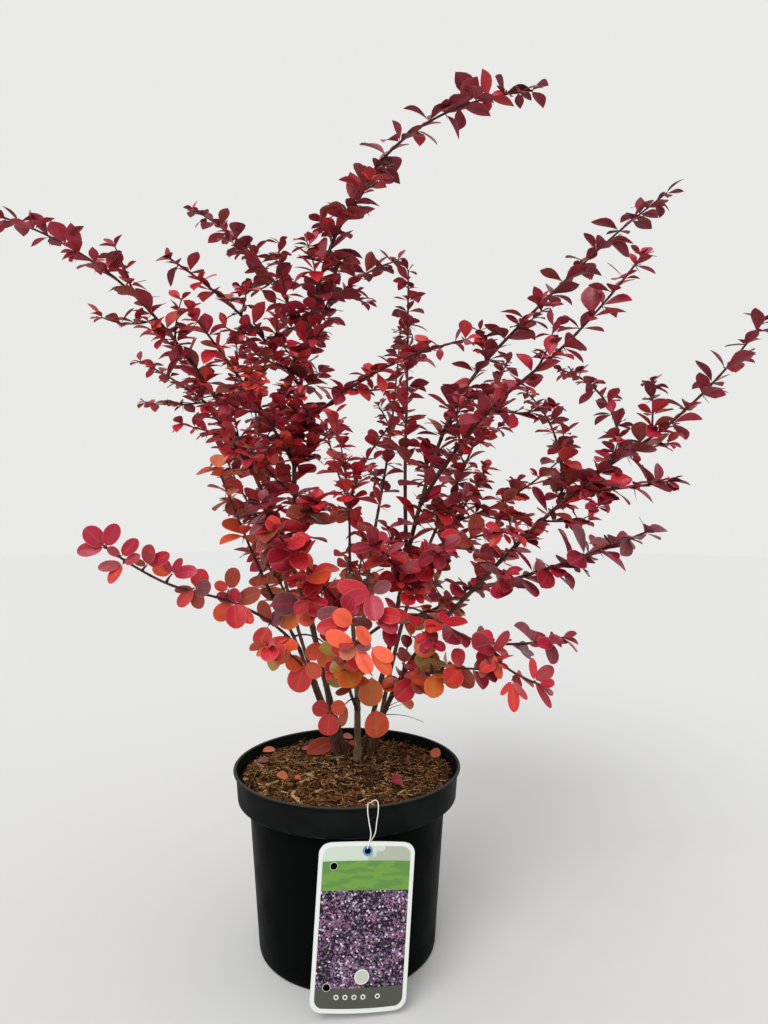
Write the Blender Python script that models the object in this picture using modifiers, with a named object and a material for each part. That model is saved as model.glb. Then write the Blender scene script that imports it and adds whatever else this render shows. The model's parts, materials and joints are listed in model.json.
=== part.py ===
"""Japanese barberry in autumn leaf, standing in a three litre nursery pot.

The pot stands on its flat underside, whose centre is the origin. Canes rise from one
stool in the bark mulch, boughs spring from them, and each bough or cane ends in a mass
of foliage: one stem, side twigs that branch by a seeded rule, and leaves in tufts.
"""

import math
import random
from typing import NamedTuple

import bmesh
import bpy
import numpy as np
from mathutils import Matrix, Vector
from mathutils.bvhtree import BVHTree

SEED = 1784

# Clearance between neighbouring pieces
GAP = 0.0003

# Pot: outer radii and heights of a black three litre container
POT_HEIGHT = 0.151
RIM_RADIUS = 0.0955
LIP_HEIGHT = 0.0035
LIP_ROLL = 0.0004
COLLAR_RADIUS = 0.0925
COLLAR_FOOT = 0.126
COLLAR_EDGE = 0.001
LEDGE_RISE = 0.003
BODY_TOP_RADIUS = 0.0825
BASE_RADIUS = 0.0742
BASE_EDGE = 0.003
POT_WALL = 0.0016
FLOOR_THICKNESS = 0.0022
POT_STEPS = 36
AXIS_WELD = 0.00005
DRAIN_HOLES = 8
DRAIN_RADIUS = 0.005
DRAIN_RING = 0.060
DRAIN_SIDES = 12
SOIL_TOP = 0.143

# Label card and the string it hangs by
CARD_WIDTH = 0.070
CARD_HEIGHT = 0.122
CARD_THICKNESS = 0.0008
CARD_CORNER = 0.008
CORNER_POINTS = 5
CARD_TOP = Vector((0.0180, -0.0965, 0.1293))
CARD_FOOT_SHIFT = -0.0075
CARD_FOOT_OUT = 0.005
EYELET_DROP = 0.0065
EYELET_RADIUS = 0.0022
EYELET_POINTS = 12
STRING_RADIUS = 0.0005
STRING_LOOP = 0.0075

# Wood: canes and boughs have six sides, twigs three
PATH_READS = 40
HEADING_REACH = 0.002
LIMB_STEP = 0.030
TWIG_STEP = 0.026
CAP_WELD = 0.000001
TIP_RADIUS = 0.0009
FLARE = 0.45
FLARE_HEIGHT = 0.006
START_STEP = 0.0004
FURTHEST_START = 0.030

# Side twigs of a mass
TWIG_LENGTH = 0.042
TWIG_LENGTH_RANGE = (0.7, 1.25)
TWIG_RADIUS = 0.0011
TWIG_LEAN = math.radians(52)
TWIG_RISE = 0.12
FIRST_TWIG = 0.6
TURN_SPREAD = 1.0

# Leaves: blades in tufts, larger than life because they are fewer, smaller towards the top
TUFT_SPACING = 0.051
FIRST_TUFT = 0.006
LAST_TUFT = 0.002
TUFT_LEAVES = 2
TUFT_FORWARD = 0.55
TURN_BETWEEN_TUFTS = math.radians(137.5)
LOW_LEAF = 0.040
HIGH_LEAF = 0.029
LOW_LEAF_HEIGHT = 0.25
HIGH_LEAF_HEIGHT = 0.50
LEAF_SIZE_RANGE = (0.85, 1.12)
LEAF_WIDTH_SHARE = 0.70
LEAF_WIDEST = 0.60
LEAF_KEEL = 0.045
KEEL_PLACE = 0.50
LEAF_SPREAD = math.radians(58)
SPREAD_RANGE = (0.8, 1.15)
LEAF_TURN_SPREAD = 0.15
FACING_UP = 0.35
ROOT_SHIFT = (-0.0008, 0.0004)

# Room that a new leaf has to find, and the test of a fused mass
PROBE_KEEL = 0.10
ROOT_SHARE = 0.10
WELD = 0.0000004
TRIES = 5

BARK_BROWN = (0.060, 0.030, 0.024)
BARK_GREY = (0.150, 0.110, 0.080)

# Leaf colours from the low masses to the high ones, each up to a height
LEAF_COLOURS = (
    (0.31, "scarlet leaves", (0.520, 0.060, 0.020)),
    (0.46, "red leaves", (0.400, 0.025, 0.035)),
    (1.00, "crimson leaves", (0.250, 0.012, 0.045)),
)


class Limb(NamedTuple):
    """One cane or shoot, in metres."""

    name: str
    parent: str     # limb that it springs from, or empty for a cane of the stool
    way: tuple      # places that it passes: where it leaves its parent, if any, and on to its tip
    foot: float     # radius at its foot
    bare: float     # share of its length that is bare stem or bough
    twigs: int      # side twigs along its leafy part
    joins: str = ""     # mass that it is part of, or empty for a mass of its own


STOOL = {
    "left": (-0.0120, 0.0260),
    "top": (-0.0020, 0.0370),
    "far_left": (-0.0150, 0.0420),
    "centre": (0.0070, 0.0230),
    "far_right": (0.0190, 0.0340),
    "upper_right": (0.0115, 0.0470),
    "back_left": (-0.0070, 0.0570),
    "back": (0.0060, 0.0640),
    "back_right": (0.0230, 0.0580),
}

LIMBS = (
    Limb("far_left", "", ((-0.033, 0.048, 0.250), (-0.066, 0.038, 0.350), (-0.126, 0.012, 0.480),
                          (-0.204, -0.014, 0.567), (-0.285, -0.030, 0.604)), 0.0040, 0.52, 5),
    Limb("far_left_side", "far_left", ((-0.105, 0.022, 0.441), (-0.144, 0.050, 0.472),
                                       (-0.205, 0.090, 0.508)), 0.0014, 0.0, 1),
    Limb("far_left_front", "far_left", ((-0.085, 0.030, 0.395), (-0.094, -0.018, 0.422),
                                        (-0.100, -0.065, 0.442)), 0.0014, 0.0, 1),
    Limb("top", "", ((-0.030, 0.030, 0.250), (-0.049, 0.035, 0.375), (-0.040, 0.035, 0.498),
                     (-0.010, 0.030, 0.611), (0.043, 0.020, 0.683), (0.156, 0.000, 0.718)),
         0.0045, 0.52, 5),
    Limb("top_back_left", "top", ((-0.038, 0.035, 0.510), (-0.076, 0.075, 0.585),
                                  (-0.162, 0.125, 0.668)), 0.0018, 0.0, 2),
    Limb("top_left", "top", ((-0.043, 0.035, 0.474), (-0.078, -0.020, 0.517),
                             (-0.128, -0.075, 0.553)), 0.0018, 0.0, 2),
    Limb("top_front_left", "top", ((-0.050, 0.035, 0.405), (-0.070, -0.040, 0.451),
                                   (-0.106, -0.105, 0.507)), 0.0016, 0.0, 2),
    Limb("top_front_right", "top", ((-0.045, 0.035, 0.431), (0.020, -0.030, 0.474),
                                    (0.090, -0.098, 0.488)), 0.0018, 0.0, 3),
    Limb("top_back_right", "top", ((-0.040, 0.035, 0.495), (-0.010, 0.080, 0.571),
                                   (0.046, 0.130, 0.618)), 0.0016, 0.0, 2),
    Limb("left", "", ((-0.041, 0.008, 0.243), (-0.067, -0.040, 0.317), (-0.091, -0.082, 0.397)),
         0.0030, 0.50, 3),
    Limb("low_left", "left", ((-0.041, 0.005, 0.243), (-0.079, -0.080, 0.297), (-0.121, -0.125, 0.319),
                              (-0.158, -0.153, 0.343)), 0.0018, 0.22, 2),
    Limb("low_front_left", "left", ((-0.030, 0.010, 0.215), (-0.042, -0.055, 0.254),
                                    (-0.052, -0.105, 0.271)), 0.0014, 0.0, 2),
    Limb("centre", "", ((0.008, 0.018, 0.190), (0.002, 0.000, 0.312), (0.002, -0.020, 0.367),
                        (-0.008, -0.045, 0.443)), 0.0045, 0.45, 3),
    Limb("centre_fork", "centre", ((0.002, -0.018, 0.367), (0.017, 0.000, 0.410),
                                   (0.038, 0.015, 0.440)), 0.0012, 0.0, 1, "centre"),
    Limb("centre_left", "centre", ((0.004, 0.005, 0.268), (-0.025, -0.055, 0.318),
                                   (-0.048, -0.100, 0.352)), 0.0014, 0.0, 3),
    Limb("front", "centre", ((0.008, 0.018, 0.190), (0.001, -0.060, 0.247), (0.011, -0.125, 0.277)),
         0.0016, 0.12, 3),
    Limb("front_right", "centre", ((0.005, 0.010, 0.245), (0.053, -0.030, 0.281), (0.103, -0.088, 0.270),
                                   (0.150, -0.140, 0.283)), 0.0018, 0.18, 2),
    Limb("front_right_droop", "front_right", ((0.103, -0.088, 0.270), (0.114, -0.120, 0.250),
                                              (0.122, -0.138, 0.232)), 0.0011, 0.0, 0, "front_right"),
    Limb("upper_right", "", ((0.035, 0.047, 0.236), (0.063, 0.042, 0.367), (0.100, 0.054, 0.467),
                             (0.183, 0.068, 0.562), (0.298, 0.076, 0.664)), 0.0044, 0.46, 6),
    Limb("upright", "upper_right", ((0.050, 0.046, 0.320), (0.051, 0.068, 0.400), (0.054, 0.100, 0.513),
                                    (0.056, 0.136, 0.610)), 0.0022, 0.25, 4),
    Limb("second_right", "upper_right", ((0.064, 0.042, 0.372), (0.085, 0.018, 0.405),
                                         (0.113, -0.018, 0.443), (0.178, -0.058, 0.501),
                                         (0.216, -0.095, 0.549)), 0.0026, 0.28, 4),
    Limb("inner_right", "upper_right", ((0.048, 0.046, 0.305), (0.095, 0.000, 0.338),
                                        (0.130, -0.060, 0.349)), 0.0016, 0.0, 3),
    Limb("far_right", "", ((0.046, 0.020, 0.218), (0.124, 0.000, 0.316), (0.195, -0.020, 0.387),
                           (0.269, -0.030, 0.442), (0.336, -0.030, 0.518)), 0.0042, 0.62, 5),
    Limb("far_right_tall", "far_right", ((0.222, -0.024, 0.408), (0.228, 0.040, 0.466),
                                         (0.207, 0.105, 0.502)), 0.0014, 0.0, 2),
    Limb("far_right_inner", "far_right", ((0.177, -0.015, 0.372), (0.187, 0.050, 0.433),
                                          (0.175, 0.120, 0.482)), 0.0014, 0.0, 2),
    Limb("far_right_front", "far_right", ((0.188, -0.020, 0.380), (0.212, -0.070, 0.383),
                                          (0.230, -0.115, 0.387)), 0.0013, 0.0, 1),
    Limb("low_right", "far_right", ((0.104, 0.005, 0.300), (0.154, -0.070, 0.322),
                                    (0.208, -0.128, 0.352)), 0.0018, 0.18, 3),
    Limb("low_centre", "far_right", ((0.036, 0.025, 0.200), (0.075, -0.050, 0.240),
                                     (0.102, -0.098, 0.252)), 0.0014, 0.0, 2),
    Limb("back_left", "", ((-0.047, 0.065, 0.244), (-0.084, 0.110, 0.376), (-0.114, 0.175, 0.540)),
         0.0032, 0.48, 5),
    Limb("back_left_low", "back_left", ((-0.055, 0.074, 0.270), (-0.080, 0.145, 0.295),
                                        (-0.105, 0.210, 0.335)), 0.0018, 0.15, 2),
    Limb("back_left_side", "back_left", ((-0.070, 0.092, 0.330), (-0.112, 0.125, 0.380),
                                         (-0.142, 0.165, 0.430)), 0.0016, 0.0, 2),
    Limb("back", "", ((0.014, 0.115, 0.290), (0.036, 0.180, 0.430), (0.050, 0.238, 0.570)),
         0.0036, 0.45, 5),
    Limb("back_low", "back", ((0.011, 0.100, 0.260), (0.004, 0.172, 0.290), (0.012, 0.230, 0.335)),
         0.0018, 0.15, 2),
    Limb("back_side", "back", ((0.018, 0.130, 0.320), (-0.012, 0.165, 0.385), (-0.035, 0.200, 0.460)),
         0.0016, 0.0, 2),
    Limb("back_right", "", ((0.060, 0.095, 0.290), (0.120, 0.150, 0.420), (0.170, 0.215, 0.530)),
         0.0036, 0.48, 5),
    Limb("back_right_low", "back_right", ((0.050, 0.088, 0.260), (0.110, 0.145, 0.275),
                                          (0.165, 0.185, 0.315)), 0.0018, 0.15, 2),
    Limb("back_right_side", "back_right", ((0.085, 0.118, 0.345), (0.155, 0.120, 0.375),
                                           (0.215, 0.125, 0.420)), 0.0016, 0.0, 2),
)


class Path:
    """A smooth way through some places, read by distance from its foot.

    Between neighbouring places it is a cubic, whose slope at each place is the slope of
    the line between the places on either side.
    """

    def __init__(self, places):
        places = np.array(places, float)
        chords = np.linalg.norm(np.diff(places, axis=0), axis=1)
        knots = np.concatenate(([0.0], np.cumsum(chords)))
        slopes = np.gradient(places, knots, axis=0, edge_order=min(2, len(places) - 1))
        reads = np.linspace(0.0, knots[-1], PATH_READS * len(places))
        piece = np.clip(np.searchsorted(knots, reads, side="right") - 1, 0, len(chords) - 1)
        width = chords[piece][:, None]
        u = (reads[:, None] - knots[piece][:, None]) / width
        self.points = ((2 * u**3 - 3 * u**2 + 1) * places[piece]
                       + (u**3 - 2 * u**2 + u) * width * slopes[piece]
                       + (3 * u**2 - 2 * u**3) * places[piece + 1]
                       + (u**3 - u**2) * width * slopes[piece + 1])
        runs = np.linalg.norm(np.diff(self.points, axis=0), axis=1)
        self.reach = np.concatenate(([0.0], np.cumsum(runs)))
        self.length = self.reach[-1]

    def at(self, distance):
        """Place at a distance from the foot."""
        return Vector([np.interp(distance, self.reach, axis) for axis in self.points.T])

    def nearest(self, place):
        """Place on the path that is nearest to another."""
        return self.points[np.argmin(np.linalg.norm(self.points - place, axis=1))]

    def heading(self, distance):
        """Direction of growth at a distance from the foot."""
        ahead = self.at(min(distance + HEADING_REACH, self.length))
        return (ahead - self.at(max(distance - HEADING_REACH, 0.0))).normalized()


class Shoot(NamedTuple):
    """A limb with its path, ready to be given a body and leaves."""

    limb: Limb
    path: Path

    def radius(self, distance):
        """Radius at a distance, which tapers evenly from the foot to the tip."""
        share = distance / self.path.length
        taper = self.limb.foot + (TIP_RADIUS - self.limb.foot) * share
        if self.limb.parent:
            return taper
        return taper * (1 + FLARE * math.exp(-distance / FLARE_HEIGHT))

    @property
    def bare_length(self):
        """Length of the bare part, where the limb is a stem or a bough."""
        return self.limb.bare * self.path.length


def clear_scene():
    """Remove every object of the scene."""
    for thing in list(bpy.data.objects):
        bpy.data.objects.remove(thing, do_unlink=True)


def material(name, colour, roughness):
    """Plain finish with one colour."""
    finish = bpy.data.materials.new(name)
    finish.use_nodes = True
    shader = finish.node_tree.nodes["Principled BSDF"]
    shader.inputs["Base Color"].default_value = (*colour, 1.0)
    shader.inputs["Roughness"].default_value = roughness
    shader.inputs["Metallic"].default_value = 0.0
    return finish


def collection(name):
    """New collection in the scene."""
    made = bpy.data.collections.new(name)
    bpy.context.scene.collection.children.link(made)
    return made


def add_object(name, data, group, finish=None):
    """Object in a collection, with its finish."""
    thing = bpy.data.objects.new(name, data)
    group.objects.link(thing)
    if finish:
        data.materials.append(finish)
    return thing


def turned(name, profile, group, finish):
    """Solid turned about +Z from a profile that goes up its inner side and down its outer."""
    mesh = bpy.data.meshes.new(name)
    edges = [(i, i + 1) for i in range(len(profile) - 1)]
    mesh.from_pydata([(radius, 0.0, height) for radius, height in profile], edges, [])
    thing = add_object(name, mesh, group, finish)
    screw = thing.modifiers.new("Turn", "SCREW")
    screw.steps = POT_STEPS
    screw.render_steps = POT_STEPS
    screw.use_merge_vertices = True
    screw.merge_threshold = AXIS_WELD
    screw.use_smooth_shade = True
    return thing


def curve_to_mesh(thing):
    """Turn a curve object into a mesh object with its end caps welded on."""
    depsgraph = bpy.context.evaluated_depsgraph_get()
    mesh = bpy.data.meshes.new_from_object(thing.evaluated_get(depsgraph))
    shape = bmesh.new()
    shape.from_mesh(mesh)
    bmesh.ops.remove_doubles(shape, verts=shape.verts, dist=CAP_WELD)
    bmesh.ops.recalc_face_normals(shape, faces=shape.faces)
    shape.to_mesh(mesh)
    shape.free()
    made = add_object(thing.name + ".solid", mesh, thing.users_collection[0])
    bpy.data.objects.remove(thing, do_unlink=True)
    return made


def tapered_tube(name, points, radii, group, profile=None):
    """Tube along some points, with a radius at each and filled ends."""
    curve = bpy.data.curves.new(name, "CURVE")
    curve.dimensions = "3D"
    curve.use_fill_caps = True
    if profile:
        curve.bevel_mode = "OBJECT"
        curve.bevel_object = profile
    else:
        curve.bevel_depth = 1.0
        curve.bevel_resolution = 1
    spline = curve.splines.new("POLY")
    spline.points.add(len(points) - 1)
    for point, place, radius in zip(spline.points, points, radii):
        point.co = (*place, 1.0)
        point.radius = radius
    return curve_to_mesh(add_object(name, curve, group))


def triangle_profile(group):
    """Three-sided section of unit radius that twigs are drawn with."""
    curve = bpy.data.curves.new("twig_section", "CURVE")
    curve.dimensions = "2D"
    spline = curve.splines.new("POLY")
    spline.points.add(2)
    for index, point in enumerate(spline.points):
        angle = math.tau * index / 3
        point.co = (math.cos(angle), math.sin(angle), 0.0, 1.0)
    spline.use_cyclic_u = True
    section = add_object("twig_section", curve, group)
    section.hide_render = True
    section.display_type = "WIRE"
    return section


def body_radius(height):
    """Outer radius of the pot's tapering body."""
    return BASE_RADIUS + (BODY_TOP_RADIUS - BASE_RADIUS) * height / COLLAR_FOOT


def pot(group, cutters):
    """Thin pot with a tapered body, a stepped collar, a round lip and drain holes."""
    lip_foot = POT_HEIGHT - LIP_HEIGHT
    inner_radius = COLLAR_RADIUS - POT_WALL
    inside = [
        (0.0, FLOOR_THICKNESS),
        (body_radius(FLOOR_THICKNESS) - POT_WALL, FLOOR_THICKNESS),
        (BODY_TOP_RADIUS - POT_WALL, COLLAR_FOOT + POT_WALL),
        (inner_radius, COLLAR_FOOT + POT_WALL + LEDGE_RISE),
        (inner_radius, lip_foot),
    ]
    lip_middle = (inner_radius + RIM_RADIUS) / 2
    lip_half = (RIM_RADIUS - inner_radius) / 2
    lip = [(lip_middle - lip_half * math.cos(angle), lip_foot + LIP_HEIGHT * math.sin(angle))
           for angle in np.linspace(math.pi / 6, math.pi, 6)]
    outside = [
        (RIM_RADIUS - LIP_ROLL, lip_foot - LIP_HEIGHT / 2),
        (COLLAR_RADIUS + 2 * LIP_ROLL, lip_foot - LIP_HEIGHT),
        (COLLAR_RADIUS, COLLAR_FOOT + COLLAR_EDGE),
        (COLLAR_RADIUS - COLLAR_EDGE, COLLAR_FOOT),
        (BODY_TOP_RADIUS + COLLAR_EDGE, COLLAR_FOOT - COLLAR_EDGE / 2),
        (BODY_TOP_RADIUS, COLLAR_FOOT - 2 * COLLAR_EDGE),
        (body_radius(BASE_EDGE), BASE_EDGE),
        (BASE_RADIUS - BASE_EDGE, 0.0),
        (0.0, 0.0),
    ]
    plastic = material("black plastic", (0.012, 0.015, 0.015), 0.5)
    shell = turned("pot", inside + lip + outside, group, plastic)
    holes = bmesh.new()
    for index in range(DRAIN_HOLES):
        turn = Matrix.Rotation(math.tau * index / DRAIN_HOLES, 4, "Z")
        place = turn @ Matrix.Translation((DRAIN_RING, 0.0, FLOOR_THICKNESS / 2))
        bmesh.ops.create_cone(holes, cap_ends=True, segments=DRAIN_SIDES, radius1=DRAIN_RADIUS,
                              radius2=DRAIN_RADIUS, depth=3 * FLOOR_THICKNESS, matrix=place)
    mesh = bpy.data.meshes.new("drain_holes")
    holes.to_mesh(mesh)
    holes.free()
    cutter = add_object("drain_holes", mesh, cutters)
    cutter.hide_render = True
    cutter.display_type = "WIRE"
    cut = shell.modifiers.new("Drain holes", "BOOLEAN")
    cut.object = cutter
    return shell


def soil(group):
    """Potting bark that fills the pot to just below its rim."""
    clear = POT_WALL + 2 * GAP
    foot = FLOOR_THICKNESS + GAP
    ledge = COLLAR_FOOT + clear
    profile = [
        (0.0, SOIL_TOP),
        (COLLAR_RADIUS - clear, SOIL_TOP),
        (COLLAR_RADIUS - clear, ledge + LEDGE_RISE),
        (BODY_TOP_RADIUS - clear, ledge),
        (body_radius(foot) - clear, foot),
        (0.0, foot),
    ]
    return turned("soil", profile, group, material("bark mulch", (0.14, 0.065, 0.035), 0.95))


def card_frame():
    """Places the label card: +X across it, +Y up it, +Z out of its face."""
    foot = CARD_TOP + Vector((CARD_FOOT_SHIFT, -CARD_FOOT_OUT, -CARD_HEIGHT))
    up = (CARD_TOP - foot).normalized()
    out = Vector((0.0, -1.0, 0.0))
    across = up.cross(out).normalized()
    out = across.cross(up)
    frame = Matrix((across, up, out)).transposed().to_4x4()
    return Matrix.Translation(CARD_TOP) @ frame


def label_card(group):
    """Flat plastic card with round corners and a punched eyelet."""
    curve = bpy.data.curves.new("label_card", "CURVE")
    curve.dimensions = "2D"
    curve.fill_mode = "BOTH"
    curve.extrude = CARD_THICKNESS / 2
    half = CARD_WIDTH / 2 - CARD_CORNER
    corners = ((half, -CARD_CORNER, 0), (-half, -CARD_CORNER, 1),
               (-half, CARD_CORNER - CARD_HEIGHT, 2), (half, CARD_CORNER - CARD_HEIGHT, 3))
    outline = [(x + CARD_CORNER * math.cos(angle), y + CARD_CORNER * math.sin(angle))
               for x, y, quarter in corners
               for angle in np.linspace(quarter, quarter + 1, CORNER_POINTS) * math.pi / 2]
    hole = [(EYELET_RADIUS * math.cos(angle), EYELET_RADIUS * math.sin(angle) - EYELET_DROP)
            for angle in np.arange(EYELET_POINTS) * math.tau / EYELET_POINTS]
    for ring in (outline, hole):
        spline = curve.splines.new("POLY")
        spline.points.add(len(ring) - 1)
        for point, (x, y) in zip(spline.points, ring):
            point.co = (x, y, 0.0, 1.0)
        spline.use_cyclic_u = True
    card = add_object("label_card", curve, group, material("white card", (0.75, 0.77, 0.74), 0.4))
    card.matrix_world = card_frame()
    return card


def beside_rim(across, radius, height):
    """Place in front of the pot's axis at a radius from it, some way across to the right."""
    return Vector((across, -math.sqrt(radius * radius - across * across), height))


def label_string(group):
    """Loop of thin string through the eyelet and over the rim of the pot."""
    frame = card_frame()
    thread = STRING_RADIUS + GAP
    eye = frame @ Vector((0.0, EYELET_RADIUS - thread - EYELET_DROP, 0.0))
    front = frame @ Vector((-STRING_RADIUS, EYELET_RADIUS - EYELET_DROP, CARD_THICKNESS + thread))
    behind = frame @ Vector((STRING_RADIUS, EYELET_RADIUS - EYELET_DROP, -CARD_THICKNESS - thread))
    middle = eye.x + STRING_LOOP / 2
    outer = RIM_RADIUS + 2 * thread
    over = POT_HEIGHT + 1.5 * thread
    inner = COLLAR_RADIUS - POT_WALL - 2 * thread
    lip = RIM_RADIUS - LIP_HEIGHT / 2

    def strand(side, out):
        """Places up one strand, from above the card to the soil inside the pot."""
        across = middle + side * STRING_LOOP / 2
        return [
            beside_rim(middle + side * STRING_LOOP / 3, outer + out, CARD_TOP.z + 6 * thread),
            beside_rim(across, outer, POT_HEIGHT - LIP_HEIGHT),
            beside_rim(across, lip + thread, over),
            beside_rim(across, inner, over - thread / 2),
            beside_rim(across - side * thread, inner - thread, SOIL_TOP + 4 * thread),
            beside_rim(middle + side * STRING_LOOP / 5, inner - 4 * thread, SOIL_TOP + 1.5 * thread),
        ]

    places = [eye, front, *strand(-1, 2.5 * thread), *reversed(strand(1, 0.0)), behind]
    curve = bpy.data.curves.new("label_string", "CURVE")
    curve.dimensions = "3D"
    curve.bevel_depth = STRING_RADIUS
    curve.bevel_resolution = 1
    spline = curve.splines.new("POLY")
    spline.points.add(len(places) - 1)
    for point, place in zip(spline.points, places):
        point.co = (*place, 1.0)
    spline.use_cyclic_u = True
    return add_object("label_string", curve, group, material("white string", (0.8, 0.8, 0.78), 0.7))


def lay_out_shoots():
    """Shoot of every limb, from its place on the stool or from its parent's axis."""
    shoots = {}
    for limb in LIMBS:
        if limb.parent:
            foot = shoots[limb.parent].path.nearest(limb.way[0])
            way = limb.way[1:]
        else:
            foot = (*STOOL[limb.name], SOIL_TOP + GAP)
            way = limb.way
        shoots[limb.name] = Shoot(limb, Path([foot, *way]))
    return shoots


def stations(start, end, step):
    """Distances along a shoot at which its tube has a ring."""
    return np.linspace(start, end, max(2, round((end - start) / step) + 1))


def tube_of(shoot, start, end, step, group, profile=None):
    """Tapering tube over part of a shoot."""
    distances = stations(start, end, step)
    points = [shoot.path.at(distance) for distance in distances]
    radii = [shoot.radius(distance) for distance in distances]
    return tapered_tube(shoot.limb.name, points, radii, group, profile)


def flat_foot(thing):
    """Level the foot of a stem, so that it stands on the soil with a flat cut."""
    for vert in thing.data.vertices:
        if vert.co.z < SOIL_TOP + LIMB_STEP / 3:
            vert.co.z = SOIL_TOP + GAP


def leaf_mesh(keel, start=0.0):
    """Obovate blade of unit length along +X, flat above and keeled below.

    It is a low four-sided cone: its base is the kite of the upper side, its point the keel.
    """
    shape = bmesh.new()
    bmesh.ops.create_cone(shape, cap_ends=True, segments=4, radius1=1.0, radius2=0.0, depth=1.0)
    for vert in shape.verts:
        x, y, z = vert.co
        if z > 0:
            vert.co = (KEEL_PLACE, 0.0, keel)
        elif abs(y) > 0.5:
            vert.co = (LEAF_WIDEST, math.copysign(LEAF_WIDTH_SHARE / 2, y), 0.0)
        else:
            vert.co = (1.0 if x > 0 else start, 0.0, 0.0)
    bmesh.ops.recalc_face_normals(shape, faces=shape.faces)
    mesh = bpy.data.meshes.new("leaf")
    shape.to_mesh(mesh)
    shape.free()
    return mesh


class Crowd:
    """The solids that are already in place, which a new twig or leaf has to keep off."""

    def __init__(self):
        self.tags = []
        self.lows = np.empty((0, 3))
        self.highs = np.empty((0, 3))
        self.trees = []

    def add(self, tag, verts, faces):
        """Remember a shape under a tag."""
        self.tags.append(tag)
        self.lows = np.vstack((self.lows, np.min(verts, axis=0)))
        self.highs = np.vstack((self.highs, np.max(verts, axis=0)))
        self.trees.append(BVHTree.FromPolygons(verts, faces))

    def forget_after(self, count):
        """Forget all but the first shapes."""
        self.tags = self.tags[:count]
        self.lows = self.lows[:count]
        self.highs = self.highs[:count]
        self.trees = self.trees[:count]

    def add_object(self, thing):
        """Remember an object by its evaluated mesh."""
        evaluated = thing.evaluated_get(bpy.context.evaluated_depsgraph_get())
        mesh = evaluated.to_mesh()
        verts = [thing.matrix_world @ vert.co for vert in mesh.vertices]
        faces = [tuple(face.vertices) for face in mesh.polygons]
        evaluated.to_mesh_clear()
        self.add(thing.name, verts, faces)

    def met_by(self, verts, faces, but=()):
        """Tag of something in place that a shape meets, or None."""
        low = np.min(verts, axis=0)
        high = np.max(verts, axis=0)
        near = np.nonzero((self.lows < high).all(axis=1) & (self.highs > low).all(axis=1))[0]
        shape = None
        for index in near:
            if self.tags[index] in but:
                continue
            shape = shape or BVHTree.FromPolygons(verts, faces)
            if shape.overlap(self.trees[index]):
                return self.tags[index]
        return None


def turned_side(heading, turn):
    """Direction square to a heading, some way round it."""
    side = heading.orthogonal().normalized()
    side.rotate(Matrix.Rotation(turn, 3, heading))
    return side


def side_twigs(bearer, dice):
    """Short twigs that branch from a stem's leafy part by a seeded rule."""
    twigs = []
    path = bearer.shoot.path
    limb = Limb("twig", bearer.shoot.limb.name, (), TWIG_RADIUS, 0.0, 0)
    for index in range(bearer.shoot.limb.twigs):
        share = (index + FIRST_TWIG) / (bearer.shoot.limb.twigs + 1)
        distance = bearer.start + (path.length - bearer.start) * share
        heading = path.heading(distance)
        side = turned_side(heading, index * TURN_BETWEEN_TUFTS + dice.uniform(0.0, TURN_SPREAD))
        aim = heading * math.cos(TWIG_LEAN) + side * math.sin(TWIG_LEAN)
        length = TWIG_LENGTH * dice.uniform(*TWIG_LENGTH_RANGE)
        foot = path.at(distance)
        rise = Vector((0.0, 0.0, TWIG_RISE * length))
        twigs.append(Shoot(limb, Path([foot, foot + aim * length / 2, foot + aim * length + rise])))
    return twigs


def place_in_tube(bearer, distance):
    """Place on the straight run between two rings of a stem's tube."""
    path = bearer.shoot.path
    rings = stations(bearer.start, path.length, TWIG_STEP)
    after = min(max(np.searchsorted(rings, distance), 1), len(rings) - 1)
    share = (distance - rings[after - 1]) / (rings[after] - rings[after - 1])
    return path.at(rings[after - 1]).lerp(path.at(rings[after]), share)


def leaf_size(height):
    """Length of a leaf, which falls from the low leaves to the high ones."""
    share = (height - LOW_LEAF_HEIGHT) / (HIGH_LEAF_HEIGHT - LOW_LEAF_HEIGHT)
    return LOW_LEAF + (HIGH_LEAF - LOW_LEAF) * min(1.0, max(0.0, share))


def leaf_places(bearer, dice):
    """Matrix of each leaf on a stem: tufts in turn round it, leaves in turn round each tuft."""
    places = []
    path = bearer.shoot.path
    start = bearer.start + FIRST_TUFT
    count = max(1, round((path.length - start) / TUFT_SPACING))
    first_turn = dice.uniform(0.0, math.tau)
    for tuft in range(count + 1):
        distance = start + (tuft + 0.5) * (path.length - start) / (count + 0.5)
        distance = min(distance, path.length - LAST_TUFT)
        heading = path.heading(distance)
        side = turned_side(heading, first_turn + tuft * TURN_BETWEEN_TUFTS)
        axis = heading if tuft == count else (heading * TUFT_FORWARD + side).normalized()
        root = place_in_tube(bearer, distance)
        for leaf in range(TUFT_LEAVES):
            turn = dice.uniform(-LEAF_TURN_SPREAD, LEAF_TURN_SPREAD)
            across = turned_side(axis, math.tau * (leaf + turn) / TUFT_LEAVES + first_turn)
            spread = LEAF_SPREAD * dice.uniform(*SPREAD_RANGE)
            aim = axis * math.cos(spread) + across * math.sin(spread)
            face = axis - aim * axis.dot(aim) + Vector((0.0, 0.0, FACING_UP))
            width = face.cross(aim).normalized()
            turned_leaf = Matrix((aim, width, aim.cross(width))).transposed().to_4x4()
            size = leaf_size(root.z) * dice.uniform(*LEAF_SIZE_RANGE)
            foot = root + heading * dice.uniform(*ROOT_SHIFT)
            places.append(Matrix.Translation(foot) @ turned_leaf @ Matrix.Scale(size, 4))
    return places


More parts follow.
